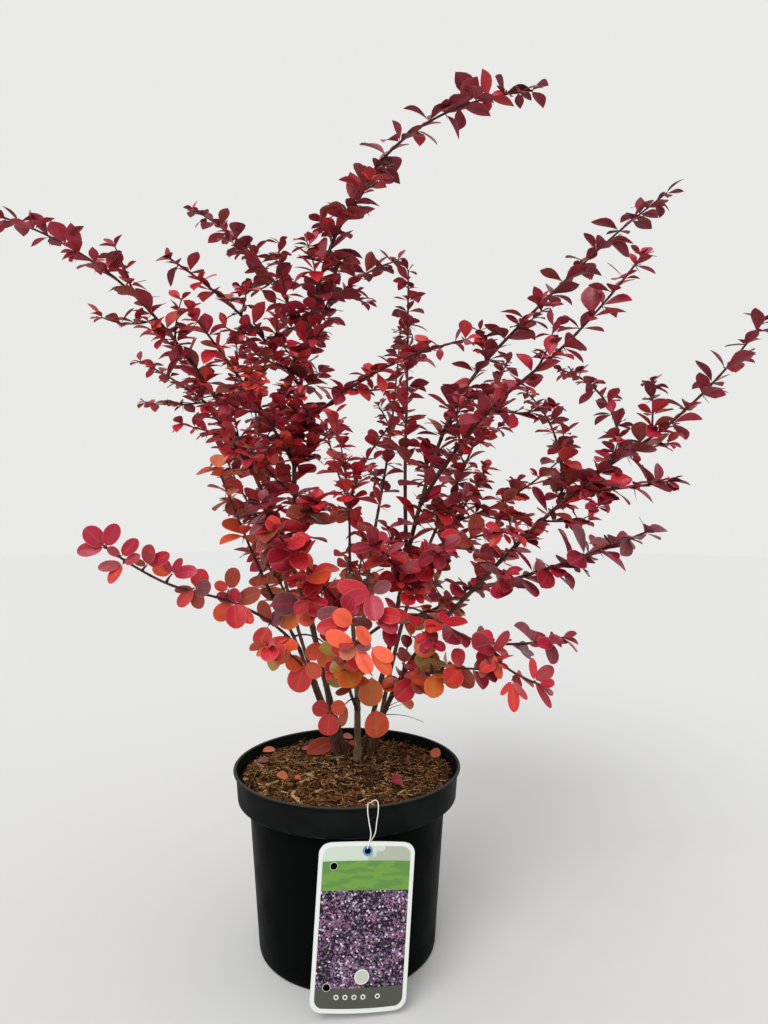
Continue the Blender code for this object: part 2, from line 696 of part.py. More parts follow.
def shells_of(shape):
    """Corners of each separate shell of a mesh, the smallest first."""
    unseen = set(shape.verts)
    shells = []
    while unseen:
        queue = [unseen.pop()]
        shell = list(queue)
        while queue:
            for edge in queue.pop().link_edges:
                for vert in edge.verts:
                    if vert in unseen:
                        unseen.remove(vert)
                        queue.append(vert)
                        shell.append(vert)
        shells.append(shell)
    return sorted(shells, key=len)


def largest_shell(mesh):
    """Drop loose scraps and the linings of sealed hollows, and say whether the rest is sound."""
    shape = bmesh.new()
    shape.from_mesh(mesh)
    bmesh.ops.triangulate(shape, faces=shape.faces)
    scraps = [vert for shell in shells_of(shape)[:-1] for vert in shell]
    bmesh.ops.delete(shape, geom=scraps, context="VERTS")
    bmesh.ops.remove_doubles(shape, verts=shape.verts, dist=WELD)
    sound = (all(len(edge.link_faces) == 2 for edge in shape.edges)
             and all(vert.is_manifold for vert in shape.verts))
    shape.to_mesh(mesh)
    shape.free()
    return sound


def fused(first, others):
    """Mesh of a stem joined with the collection of twigs and leaves that stand in it."""
    union = first.modifiers.new("Fuse", "BOOLEAN")
    union.operation = "UNION"
    union.operand_type = "COLLECTION"
    union.solver = "MANIFOLD"
    union.collection = others
    bpy.context.view_layer.update()
    depsgraph = bpy.context.evaluated_depsgraph_get()
    mesh = bpy.data.meshes.new_from_object(first.evaluated_get(depsgraph))
    first.modifiers.remove(union)
    return mesh


def remove_pieces(group, kind=""):
    """Remove a collection's objects, or those whose name starts in a given way."""
    for thing in list(group.objects):
        if thing.name.startswith(kind):
            bpy.data.objects.remove(thing, do_unlink=True)


class Bearer(NamedTuple):
    """A stem or twig of a mass: its shoot, where its tube starts, and its tube."""

    shoot: Shoot
    start: float
    tube: bpy.types.Object


def corners_and_faces(thing):
    """Corners and faces of a mesh object that lies where its mesh says."""
    return ([vert.co.copy() for vert in thing.data.vertices],
            [tuple(face.vertices) for face in thing.data.polygons])


def clear_tube(name, shoot, end, step, crowd, group, section=None):
    """Tube of a side limb, from where its flat end comes clear of everything in place."""
    start = 0.0
    while start < FURTHEST_START:
        start += START_STEP
        tube = tube_of(shoot, start, end, step, group, section)
        met = crowd.met_by(*corners_and_faces(tube))
        bpy.data.objects.remove(tube, do_unlink=True)
        if not met:
            start += GAP
            tube = tube_of(shoot, start, end, step, group, section)
            tube.name = name
            crowd.add(name, *corners_and_faces(tube))
            return start, tube
    raise RuntimeError(f"{name} meets {met}")


def grow_stems(mass, members, crowd, section, loose):
    """Stems of one mass, which have to come clear of every other limb."""
    bearers = []
    for shoot in members:
        name = f"{mass} {shoot.limb.name}"
        if shoot.bare_length or shoot.limb.joins:
            start = shoot.bare_length + GAP if shoot.bare_length else 0.0
            tube = tube_of(shoot, start, shoot.path.length, TWIG_STEP, loose, section)
            tube.name = name
            shape = corners_and_faces(tube)
            met = crowd.met_by(*shape, but=[bearer.tube.name for bearer in bearers])
            if met:
                raise RuntimeError(f"the stem {name} meets {met}")
            crowd.add(name, *shape)
        else:
            start, tube = clear_tube(name, shoot, shoot.path.length, TWIG_STEP, crowd, loose, section)
        bearers.append(Bearer(shoot, start, tube))
    return bearers


def grow_twigs(bearers, crowd, section, loose, dice):
    """Side twigs of one mass, without those that would meet something."""
    twigs = []
    for bearer in bearers:
        for number, shoot in enumerate(side_twigs(bearer, dice)):
            tube = tube_of(shoot, 0.0, shoot.path.length, TWIG_STEP, loose, section)
            tube.name = f"{bearer.tube.name} twig {number}"
            shape = corners_and_faces(tube)
            if crowd.met_by(*shape, but=(bearer.tube.name,)):
                bpy.data.objects.remove(tube, do_unlink=True)
                continue
            crowd.add(tube.name, *shape)
            twigs.append(Bearer(shoot, 0.0, tube))
    return twigs


def grow_leaves(mass, bearers, crowd, blade, probes, loose, dice):
    """Leaves of one mass, without those that would meet a limb or another leaf.

    Leaves of the same tuft may meet inside their twig, so among a mass's own leaves the
    test leaves their roots out.
    """
    tag = f"leaf of {mass}"
    whole, rootless = probes
    faces = [tuple(face.vertices) for face in whole.polygons]
    for bearer in bearers:
        for place in leaf_places(bearer, dice):
            verts = [place @ vert.co for vert in whole.vertices]
            if crowd.met_by(verts, faces, but=(bearer.tube.name, tag)):
                continue
            if crowd.met_by([place @ vert.co for vert in rootless.vertices], faces, but=(bearer.tube.name,)):
                continue
            crowd.add(tag, verts, faces)
            add_object("leaf", blade, loose).matrix_world = place


def build():
    """Make the pot, the label, the canes and boughs, and the masses of foliage."""
    clear_scene()
    group = collection("japanese barberry in a pot")
    cutters = collection("cutters")
    crowd = Crowd()
    shell = pot(group, cutters)
    fill = soil(group)
    card = label_card(group)
    string = label_string(group)
    bpy.context.view_layer.update()
    for thing in (shell, fill, card, string):
        crowd.add_object(thing)

    shoots = lay_out_shoots()
    brown = material("young bark", BARK_BROWN, 0.7)
    grey = material("old bark", BARK_GREY, 0.85)
    for shoot in shoots.values():
        if not shoot.bare_length:
            continue
        if shoot.limb.parent:
            name = f"bough_{shoot.limb.name}"
            limb = clear_tube(name, shoot, shoot.bare_length, LIMB_STEP, crowd, group)[1]
        else:
            limb = tube_of(shoot, 0.0, shoot.bare_length, LIMB_STEP, group)
            flat_foot(limb)
            limb.name = f"stem_{shoot.limb.name}"
            shape = corners_and_faces(limb)
            met = crowd.met_by(*shape)
            if met:
                raise RuntimeError(f"{limb.name} meets {met}")
            crowd.add(limb.name, *shape)
        limb.data.materials.append(grey if shoot.limb.name == "centre" else brown)
        limb.data.shade_smooth()

    section = triangle_profile(cutters)
    masses = {}
    for name, shoot in shoots.items():
        if not shoot.limb.joins:
            members = [shoot] + [other for other in shoots.values() if other.limb.joins == name]
            loose = collection(f"pieces of {name}")
            masses[name] = (grow_stems(name, members, crowd, section, loose), loose)
    for name, (bearers, loose) in masses.items():
        dice = random.Random(f"{SEED} twigs of {name}")
        bearers.extend(grow_twigs(bearers, crowd, section, loose, dice))
    finishes = [(top, material(name, colour, 0.5)) for top, name, colour in LEAF_COLOURS]
    blade = leaf_mesh(LEAF_KEEL)
    probes = (leaf_mesh(PROBE_KEEL), leaf_mesh(PROBE_KEEL, ROOT_SHARE))
    for name, (bearers, loose) in masses.items():
        first = bearers[0].tube
        loose.objects.unlink(first)
        group.objects.link(first)
        mark = len(crowd.trees)
        for attempt in range(TRIES):
            dice = random.Random(f"{SEED} leaves of {name}, try {attempt}")
            grow_leaves(name, bearers, crowd, blade, probes, loose, dice)
            mesh = fused(first, loose)
            if largest_shell(mesh):
                break
            crowd.forget_after(mark)
            remove_pieces(loose, "leaf")
        else:
            raise RuntimeError(f"the foliage {name} has no sound union")
        remove_pieces(loose)
        bpy.data.collections.remove(loose)
        bpy.data.objects.remove(first, do_unlink=True)
        mesh.materials.clear()
        height = sum(vert.co.z for vert in mesh.vertices) / len(mesh.vertices)
        finish = next(finish for top, finish in finishes if height < top)
        add_object(f"foliage_{name}", mesh, group, finish)


if __name__ == "__main__":
    build()
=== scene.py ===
"""Looks of a potted japanese barberry in autumn leaf.

Pot, mulch, canes, twigs, leaves and hanging label are surfaces worked out with numpy, in
metres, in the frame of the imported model. The plant grows by the rule of its solids: tufts
of leaves in turn round every shoot, and side twigs that branch from it.
"""

import json
import math
import random
from functools import partial
from typing import NamedTuple

import bmesh
import bpy
import numpy as np
from bpy.props import FloatProperty, FloatVectorProperty, IntProperty, PointerProperty
from bpy.types import NodeSocket, Operator, Panel, PropertyGroup
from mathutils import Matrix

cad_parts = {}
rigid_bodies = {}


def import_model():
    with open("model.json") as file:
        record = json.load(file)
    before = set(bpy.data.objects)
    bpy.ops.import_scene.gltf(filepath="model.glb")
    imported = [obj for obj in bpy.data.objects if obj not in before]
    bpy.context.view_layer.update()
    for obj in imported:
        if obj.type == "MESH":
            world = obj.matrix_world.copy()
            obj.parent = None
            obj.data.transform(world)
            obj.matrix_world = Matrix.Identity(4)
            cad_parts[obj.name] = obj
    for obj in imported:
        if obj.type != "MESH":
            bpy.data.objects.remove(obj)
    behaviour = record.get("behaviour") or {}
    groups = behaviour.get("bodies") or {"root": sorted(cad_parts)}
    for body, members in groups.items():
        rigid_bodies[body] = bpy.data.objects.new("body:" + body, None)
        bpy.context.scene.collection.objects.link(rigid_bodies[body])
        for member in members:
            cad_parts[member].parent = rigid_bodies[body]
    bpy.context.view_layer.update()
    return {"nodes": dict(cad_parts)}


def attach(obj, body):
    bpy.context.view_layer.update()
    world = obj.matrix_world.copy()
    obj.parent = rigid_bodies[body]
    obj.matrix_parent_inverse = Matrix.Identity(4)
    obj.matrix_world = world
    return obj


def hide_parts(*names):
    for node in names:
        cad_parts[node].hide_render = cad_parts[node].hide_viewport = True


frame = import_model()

bl_info = {
    "name": "Potted Japanese Barberry",
    "version": (1, 0, 0),
    "blender": (4, 5, 0),
    "location": "View3D > Sidebar > Barberry",
    "description": "Autumn barberry with its nursery pot, bark mulch and hanging label",
    "category": "Add Mesh",
}

SEED = 1784
UP = np.array((0.0, 0.0, 1.0))
GOLDEN_TURN = math.radians(137.5)

# Sizes that the pieces share with the solids, in metres
POT_HEIGHT = 0.151
RIM_RADIUS = 0.0955
LIP_HEIGHT = 0.0035
COLLAR_RADIUS = 0.0925
COLLAR_FOOT = 0.126
BODY_TOP_RADIUS = 0.0825
BASE_RADIUS = 0.0742
POT_WALL = 0.0016
LIP_WIDTH = 0.0026
FLOOR_THICKNESS = 0.0022
DRAIN_HOLES = 8
DRAIN_RADIUS = 0.005
DRAIN_RING = 0.060
FLOOR_RING = 0.030
SOIL_TOP = 0.143
CARD_WIDTH = 0.070
CARD_HEIGHT = 0.122
CARD_THICKNESS = 0.0008
CARD_CORNER = 0.008
CARD_TOP = np.array((0.0196, -0.0965, 0.1272))
CARD_FOOT = CARD_TOP + np.array((-0.0075, -0.005, -CARD_HEIGHT))
CARD_TURN = math.radians(9)
CARD_BORDER = 0.0030
CARD_BOW = 0.0010
CARD_ARCH = 0.0014
CARD_MARKS = (0.0, CARD_BORDER, 0.0134, 0.0346, 0.1042, 0.1188, CARD_HEIGHT)
EYELET_DROP = 0.0065
EYELET_RADIUS = 0.0022
STRING_RADIUS = 0.0005
STRING_LOOP = 0.0075
SAME_PLACE = 0.000002
TIP_RADIUS = 0.0009
FLARE = 0.25
FLARE_HEIGHT = 0.006


def linear(code):
    """Linear colour of an sRGB hex value."""
    values = [int(code[i:i + 2], 16) / 255 for i in (0, 2, 4)]
    return tuple(v / 12.92 if v <= 0.04045 else ((v + 0.055) / 1.055) ** 2.4 for v in values)


def colour(name, code, description):
    """Colour setting, with an sRGB hex value as its default."""
    return FloatVectorProperty(name=name, description=description, subtype="COLOR", size=3,
                               min=0.0, max=1.0, default=linear(code))


def length(name, metres, description):
    """Length setting."""
    return FloatProperty(name=name, description=description, default=metres, min=0.0, unit="LENGTH",
                         precision=5)


def share(name, value, description, most=1.0):
    """Setting without a unit."""
    return FloatProperty(name=name, description=description, default=value, min=0.0, max=most)


class PotLooks(PropertyGroup):
    """Colours and fineness of the nursery pot."""

    plastic: colour("Plastic", "030605", "Black polypropylene with a green tinge")
    # Pale colour of the scuffs, which are wear, of the paler lip and of the painted highlight at the
    # collar's foot
    worn: colour("Worn lip", "4a4541", "Plastic where handling has rubbed it pale")
    # Painted light: paler colour mixed in on the collar, where light from above falls, in soft clouds
    dust: colour("Dust", "1e2221", "Dried compost dust, most of it on the collar")
    steps: IntProperty(name="Steps", description="Places round the pot", default=144, min=24)
    grain: length("Grain", 0.0006, "Width of the moulded grain")


class MulchLooks(PropertyGroup):
    """Amount and colours of the bark mulch."""

    chips: IntProperty(name="Chips", description="Number of bark chips", default=3600, min=0)
    fibres: IntProperty(name="Fibres", description="Number of bark fibres", default=2600, min=0)
    peat: colour("Peat", "1d1108", "Damp peat between the chips")
    dark: colour("Dark bark", "3a2412", "Damp outer bark")
    brown: colour("Brown bark", "7d5732", "Half dry bark")
    red: colour("Red bark", "84512a", "Inner bark")
    tan: colour("Tan wood", "c29c70", "Dry splinters of wood")


class WoodLooks(PropertyGroup):
    """Bark and thorns."""

    young: colour("Young bark", "35120f", "Red brown bark of shoots")
    brown: colour("Brown bark", "41230f", "Bark of the older canes")
    grey: colour("Grey bark", "6b573f", "Old bark of the middle cane")
    young_ridge: colour("Young ridge", "6f3526", "Ridges of the shoots' bark")
    brown_ridge: colour("Brown ridge", "7c5438", "Ridges of the brown bark")
    grey_ridge: colour("Grey ridge", "94825f", "Ridges of the grey bark")
    thorn: colour("Thorn", "5f3d30", "Dry thorn")
    thorn_length: length("Thorn length", 0.0110, "Length of a thorn")
    relief: share("Relief", 0.09, "Depth of the bark's ridges, as a share of the radius")
    girth: share("Girth", 0.58, "Thickness of a cane's foot, as a share of its solid's")
    high_girth: share("High girth", 0.85, "Thickness of boughs and tips, as a share of their solids'")
    middle_girth: share("Middle girth", 0.74, "Thickness of the middle cane, as a share of its solid's")


class LeafLooks(PropertyGroup):
    """Sizes of the leaves and spacing of their tufts."""

    low_length: length("Low leaf", 0.0264, "Length of a leaf near the foot of the plant")
    high_length: length("High leaf", 0.0240, "Length of a leaf high in the plant")
    tip_share: share("Tip share", 0.68, "Length of a leaf at a shoot's tip, as a share")
    thickness: length("Thickness", 0.0003, "Thickness of a leaf")
    spacing: length("Tuft spacing", 0.0145, "Distance between tufts along a shoot's foot")
    tip_spacing: length("Tip spacing", 0.0095, "Distance between tufts near a shoot's tip")


class LeafTints(PropertyGroup):
    """Autumn tints, which are dealt out by spray."""

    maroon: colour("Maroon", "6e1829", "Oldest leaves of the high canes")
    burgundy: colour("Burgundy", "86182f", "High canes")
    garnet: colour("Garnet", "981b31", "High canes")
    crimson: colour("Crimson", "ab1b38", "Middle of the plant")
    carmine: colour("Carmine", "b5203c", "Fresh leaves at the tips")
    ruby: colour("Ruby", "bf1e2e", "Middle of the plant")
    russet: colour("Russet", "943c2a", "Leaves on the turn")
    scarlet: colour("Scarlet", "c83030", "Low and middle shoots")
    vermilion: colour("Vermilion", "d94c2a", "Low shoots")
    orange: colour("Orange", "d06226", "Low shoots")
    amber: colour("Amber", "b87a34", "Shaded low leaves")
    olive: colour("Olive", "94803a", "Leaves that are still part green")
    coral: colour("Coral", "f2603e", "Bright low cluster")
    salmon: colour("Salmon", "c26c4e", "Slender left shoot")
    rose: colour("Rose", "a8343d", "Low right shoots")
    plum: colour("Plum", "794049", "Purple grey leaves")
    rib: colour("Midrib", "e8a086", "Midribs, veins and margins, mixed half and half with the leaf's tint")
    bloom: colour("Bloom", "8f6468", "Grey bloom of the undersides")


class LabelLooks(PropertyGroup):
    """Colours of the plain label and its string."""

    card: colour("Card", "e2e5e1", "White plastic card")
    sky: colour("Pale band", "c8d4c4", "Band at the top")
    hill: colour("Hills", "adb3a2", "Soft shape in the band at the top")
    green: colour("Green band", "6b973a", "Bare band under the top one")
    leaf_green: colour("Dark green", "588a3c", "Soft shapes in the green band")
    night: colour("Dark of the picture", "12111a", "Shade of the mottled field")
    mauve: colour("Mauve of the picture", "5e4660", "Middle of the mottled field")
    heather: colour("Heather of the picture", "846c8c", "Cool lights of the mottled field")
    lilac: colour("Lilac of the picture", "b8698f", "Warm lights of the mottled field")
    glint: colour("Glints of the picture", "e6d8dc", "Pale specks of the mottled field")
    slate: colour("Grey band", "484a40", "Bare band at the foot")
    ring: colour("Eyelet", "4b8dc0", "Blue ring round the eyelet")
    hole: colour("Punched hole", "060707", "Dark inside of a hole")
    blank: colour("Blank disc", "bcc2b4", "Pale grey print")
    string: colour("String", "f4f2ed", "White string")


class StageLooks(PropertyGroup):
    """Studio round the plant."""

    paper: colour("Floor", "d4d4d4", "Pale floor")
    sky: share("Sky", 0.82, "Strength of the light from all round", 10.0)
    key: share("Key light", 1.6, "Strength of the sun", 50.0)
    lens: FloatProperty(name="Lens", description="Focal length", default=26.0, min=1.0, unit="CAMERA")


class Limb(NamedTuple):
    """One cane or shoot, in metres."""

    name: str
    parent: str     # limb that it springs from, or empty for a cane of the stool
    way: tuple      # places that it passes: where it leaves its parent, if any, and on to its tip
    foot: float     # radius at its foot
    bare: float     # share of its length that is bare stem or bough, or 1 where only sprigs grow
    twigs: int      # side twigs along its leafy part
    tints: tuple    # palette at its foot and palette at its tip
    leaf: float     # size of its leaves, as a share


# Where each cane leaves the stool, in metres
STOOL = {
    "left": (-0.0095, 0.0265),
    "top": (-0.0020, 0.0370),
    "far_left": (-0.0115, 0.0405),
    "centre": (0.0070, 0.0230),
    "far_right": (0.0160, 0.0335),
    "upper_right": (0.0115, 0.0470),
    "back_left": (-0.0070, 0.0570),
    "back": (0.0060, 0.0640),
    "back_right": (0.0230, 0.0580),
}

# Tints that a tuft draws from: one that is named twice is drawn twice as often
PALETTES = {
    "deep": ("burgundy", "burgundy", "garnet", "maroon", "garnet", "crimson", "burgundy", "russet"),
    "fresh": ("crimson", "garnet", "carmine", "burgundy", "crimson"),
    "dark": ("burgundy", "maroon", "garnet", "burgundy", "maroon", "garnet", "russet"),
    "bright": ("ruby", "scarlet", "crimson", "ruby", "carmine", "ruby", "russet"),
    "crimson": ("crimson", "garnet", "ruby", "burgundy", "crimson"),
    "red": ("ruby", "crimson", "scarlet", "garnet", "russet", "ruby"),
    "scarlet": ("scarlet", "ruby", "vermilion", "crimson", "scarlet", "russet", "ruby"),
    "orange": ("vermilion", "orange", "scarlet", "orange", "vermilion",
               "amber", "russet", "scarlet", "orange", "olive"),
    "salmon": ("russet", "salmon", "rose", "russet", "vermilion"),
    "rose": ("rose", "carmine", "scarlet", "crimson", "crimson", "plum"),
    "plum": ("plum", "burgundy", "garnet", "crimson", "plum"),
}

# Tint along the midrib of a leaf of each tint
HEARTS = {
    "maroon": "burgundy", "burgundy": "garnet", "garnet": "maroon", "crimson": "ruby",
    "carmine": "crimson", "ruby": "scarlet", "russet": "garnet", "scarlet": "vermilion",
    "vermilion": "orange", "orange": "amber", "amber": "olive", "olive": "amber",
    "coral": "scarlet", "salmon": "orange", "rose": "plum", "plum": "crimson",
}

LIMBS = (
    Limb("far_left", "",
         ((-0.033, 0.048, 0.250), (-0.066, 0.038, 0.350), (-0.126, 0.012, 0.480),
          (-0.204, -0.014, 0.567), (-0.285, -0.030, 0.604)),
         0.0040, 0.50, 7, ("bright", "fresh"), 1.0),
    Limb("far_left_side", "far_left",
         ((-0.105, 0.022, 0.441), (-0.144, 0.050, 0.472), (-0.205, 0.090, 0.508)),
         0.0014, 0.0, 1, ("red", "deep"), 0.8),
    Limb("far_left_front", "far_left",
         ((-0.085, 0.030, 0.395), (-0.094, -0.018, 0.422), (-0.100, -0.065, 0.442)),
         0.0014, 0.0, 1, ("bright", "red"), 0.8),
    Limb("top", "",
         ((-0.030, 0.030, 0.250), (-0.049, 0.035, 0.375), (-0.040, 0.035, 0.498),
          (-0.010, 0.030, 0.611), (0.043, 0.020, 0.683), (0.156, 0.000, 0.718)),
         0.0045, 0.34, 13, ("bright", "dark"), 1.20),
    Limb("top_back_left", "top",
         ((-0.038, 0.035, 0.510), (-0.076, 0.075, 0.585), (-0.162, 0.125, 0.668)),
         0.0018, 0.0, 4, ("crimson", "deep"), 0.95),
    Limb("top_left", "top",
         ((-0.043, 0.035, 0.474), (-0.078, -0.020, 0.517), (-0.128, -0.075, 0.553)),
         0.0018, 0.0, 5, ("bright", "deep"), 0.95),
    Limb("top_front_left", "top",
         ((-0.050, 0.035, 0.405), (-0.070, -0.040, 0.451), (-0.106, -0.105, 0.507)),
         0.0016, 0.0, 5, ("scarlet", "bright"), 0.95),
    Limb("top_front_right", "top",
         ((-0.045, 0.035, 0.431), (0.020, -0.030, 0.474), (0.090, -0.098, 0.488)),
         0.0018, 0.0, 2, ("bright", "crimson"), 0.90),
    Limb("top_back_right", "top",
         ((-0.040, 0.035, 0.495), (-0.010, 0.080, 0.571), (0.046, 0.130, 0.618)),
         0.0016, 0.0, 3, ("crimson", "deep"), 0.95),
    Limb("top_low_right", "top",
         ((-0.047, 0.034, 0.335), (-0.036, -0.008, 0.358), (-0.020, -0.050, 0.372)),
         0.0014, 0.0, 1, ("bright", "red"), 1.05),
    Limb("top_low_left", "top",
         ((-0.044, 0.033, 0.318), (-0.058, -0.010, 0.345), (-0.064, -0.052, 0.372)),
         0.0014, 0.0, 1, ("red", "plum"), 1.0),
    Limb("left", "",
         ((-0.041, 0.008, 0.243), (-0.067, -0.040, 0.317), (-0.091, -0.082, 0.397)),
         0.0030, 0.56, 0, ("salmon", "salmon"), 0.92),
    Limb("low_left", "left",
         ((-0.041, 0.005, 0.243), (-0.079, -0.080, 0.297), (-0.121, -0.125, 0.319),
          (-0.152, -0.151, 0.346)),
         0.0014, 1.0, 0, ("scarlet", "fresh"), 0.85),
    Limb("low_front_left", "left",
         ((-0.030, 0.010, 0.215), (-0.042, -0.055, 0.254), (-0.052, -0.105, 0.271)),
         0.0014, 0.75, 0, ("orange", "scarlet"), 0.85),
    Limb("centre", "",
         ((0.008, 0.018, 0.190), (0.002, 0.000, 0.312), (0.002, -0.020, 0.367),
          (-0.008, -0.045, 0.443)),
         0.0045, 0.72, 1, ("bright", "red"), 0.78),
    Limb("centre_fork", "centre",
         ((0.002, -0.018, 0.367), (0.017, 0.000, 0.410), (0.038, 0.015, 0.440)),
         0.0012, 0.0, 0, ("red", "crimson"), 0.80),
    Limb("centre_left", "centre",
         ((0.004, 0.005, 0.268), (-0.025, -0.055, 0.318), (-0.048, -0.100, 0.352)),
         0.0014, 0.0, 2, ("scarlet", "bright"), 1.0),
    Limb("front", "centre",
         ((0.008, 0.018, 0.190), (0.001, -0.060, 0.247), (0.011, -0.125, 0.277)),
         0.0016, 0.30, 1, ("orange", "rose"), 0.76),
    Limb("front_right", "centre",
         ((0.005, 0.010, 0.245), (0.053, -0.030, 0.281), (0.103, -0.088, 0.270),
          (0.150, -0.140, 0.283)),
         0.0018, 0.18, 1, ("red", "plum"), 0.80),
    Limb("front_right_droop", "front_right",
         ((0.103, -0.088, 0.270), (0.117, -0.118, 0.257), (0.136, -0.134, 0.250)),
         0.0011, 0.0, 0, ("rose", "rose"), 0.7),
    Limb("upper_right", "",
         ((0.035, 0.047, 0.236), (0.063, 0.042, 0.367), (0.100, 0.054, 0.467), (0.183, 0.068, 0.562),
          (0.298, 0.076, 0.664)),
         0.0041, 0.26, 7, ("crimson", "dark"), 1.12),
    Limb("upright", "upper_right",
         ((0.050, 0.046, 0.320), (0.051, 0.068, 0.400), (0.054, 0.100, 0.513), (0.056, 0.136, 0.610)),
         0.0022, 0.30, 1, ("red", "fresh"), 1.04),
    Limb("second_right", "upper_right",
         ((0.064, 0.042, 0.372), (0.085, 0.018, 0.405), (0.113, -0.018, 0.443),
          (0.178, -0.058, 0.501), (0.216, -0.095, 0.549)),
         0.0022, 0.20, 3, ("crimson", "fresh"), 1.0),
    Limb("inner_right", "upper_right",
         ((0.048, 0.046, 0.305), (0.095, 0.000, 0.338), (0.130, -0.060, 0.349)),
         0.0016, 0.0, 2, ("scarlet", "rose"), 0.90),
    Limb("far_right", "",
         ((0.046, 0.020, 0.218), (0.124, 0.000, 0.316), (0.195, -0.020, 0.387),
          (0.269, -0.030, 0.442), (0.336, -0.030, 0.518)),
         0.0042, 0.44, 6, ("red", "deep"), 1.0),
    Limb("far_right_tall", "far_right",
         ((0.222, -0.024, 0.408), (0.228, 0.040, 0.466), (0.207, 0.105, 0.502)),
         0.0014, 0.0, 0, ("crimson", "deep"), 0.75),
    Limb("far_right_inner", "far_right",
         ((0.177, -0.015, 0.372), (0.187, 0.050, 0.433), (0.175, 0.120, 0.482)),
         0.0014, 0.0, 0, ("crimson", "deep"), 0.75),
    Limb("far_right_front", "far_right",
         ((0.188, -0.020, 0.380), (0.212, -0.070, 0.383), (0.230, -0.115, 0.387)),
         0.0013, 0.0, 1, ("crimson", "deep"), 0.85),
    Limb("low_right", "far_right",
         ((0.104, 0.005, 0.300), (0.154, -0.070, 0.322), (0.208, -0.128, 0.352)),
         0.0018, 0.18, 2, ("plum", "plum"), 0.94),
    Limb("near_right", "upper_right",
         ((0.050, 0.045, 0.290), (0.043, 0.000, 0.312), (0.024, -0.050, 0.338)),
         0.0014, 0.0, 2, ("red", "crimson"), 1.06),
    Limb("mid_right", "upper_right",
         ((0.052, 0.045, 0.305), (0.066, 0.005, 0.318), (0.078, -0.045, 0.336)),
         0.0014, 0.0, 1, ("red", "plum"), 0.98),
    Limb("low_centre", "far_right",
         ((0.036, 0.025, 0.200), (0.075, -0.050, 0.240), (0.102, -0.098, 0.252)),
         0.0014, 0.0, 2, ("orange", "red"), 0.82),
    Limb("back_left", "",
         ((-0.047, 0.065, 0.244), (-0.084, 0.110, 0.376), (-0.114, 0.175, 0.540)),
         0.0032, 0.48, 6, ("red", "deep"), 1.0),
    Limb("back_left_low", "back_left",
         ((-0.055, 0.074, 0.270), (-0.080, 0.145, 0.295), (-0.105, 0.210, 0.335)),
         0.0018, 0.15, 3, ("orange", "scarlet"), 1.0),
    Limb("back_left_side", "back_left",
         ((-0.070, 0.092, 0.330), (-0.112, 0.125, 0.380), (-0.142, 0.165, 0.430)),
         0.0016, 0.0, 1, ("scarlet", "crimson"), 0.90),
    Limb("back", "",
         ((0.014, 0.115, 0.290), (0.036, 0.180, 0.430), (0.050, 0.238, 0.570)),
         0.0036, 0.52, 2, ("red", "deep"), 0.85),
    Limb("back_low", "back",
         ((0.011, 0.100, 0.260), (0.004, 0.172, 0.290), (0.012, 0.230, 0.335)),
         0.0018, 0.15, 3, ("orange", "scarlet"), 1.0),
    Limb("back_side", "back",
         ((0.018, 0.130, 0.320), (-0.012, 0.165, 0.385), (-0.035, 0.200, 0.460)),
         0.0016, 0.0, 1, ("scarlet", "crimson"), 0.85),
    Limb("back_right", "",
         ((0.060, 0.095, 0.290), (0.120, 0.150, 0.420), (0.170, 0.215, 0.530)),
         0.0036, 0.48, 6, ("red", "deep"), 1.0),
    Limb("back_right_low", "back_right",
         ((0.050, 0.088, 0.260), (0.110, 0.145, 0.275), (0.165, 0.185, 0.315)),
         0.0018, 0.15, 3, ("orange", "rose"), 1.0),
    Limb("back_right_side", "back_right",
         ((0.085, 0.118, 0.345), (0.155, 0.120, 0.375), (0.215, 0.125, 0.420)),
         0.0016, 0.0, 3, ("scarlet", "crimson"), 0.95),
)


class Sprig(NamedTuple):
    """A short twig low at the front with hanging leaves at its end, in metres."""

    limb: str       # limb that it springs from
    end: tuple      # place of its end
    leaves: tuple   # for each leaf the place of its tip, its width as a share of its length, and its tint


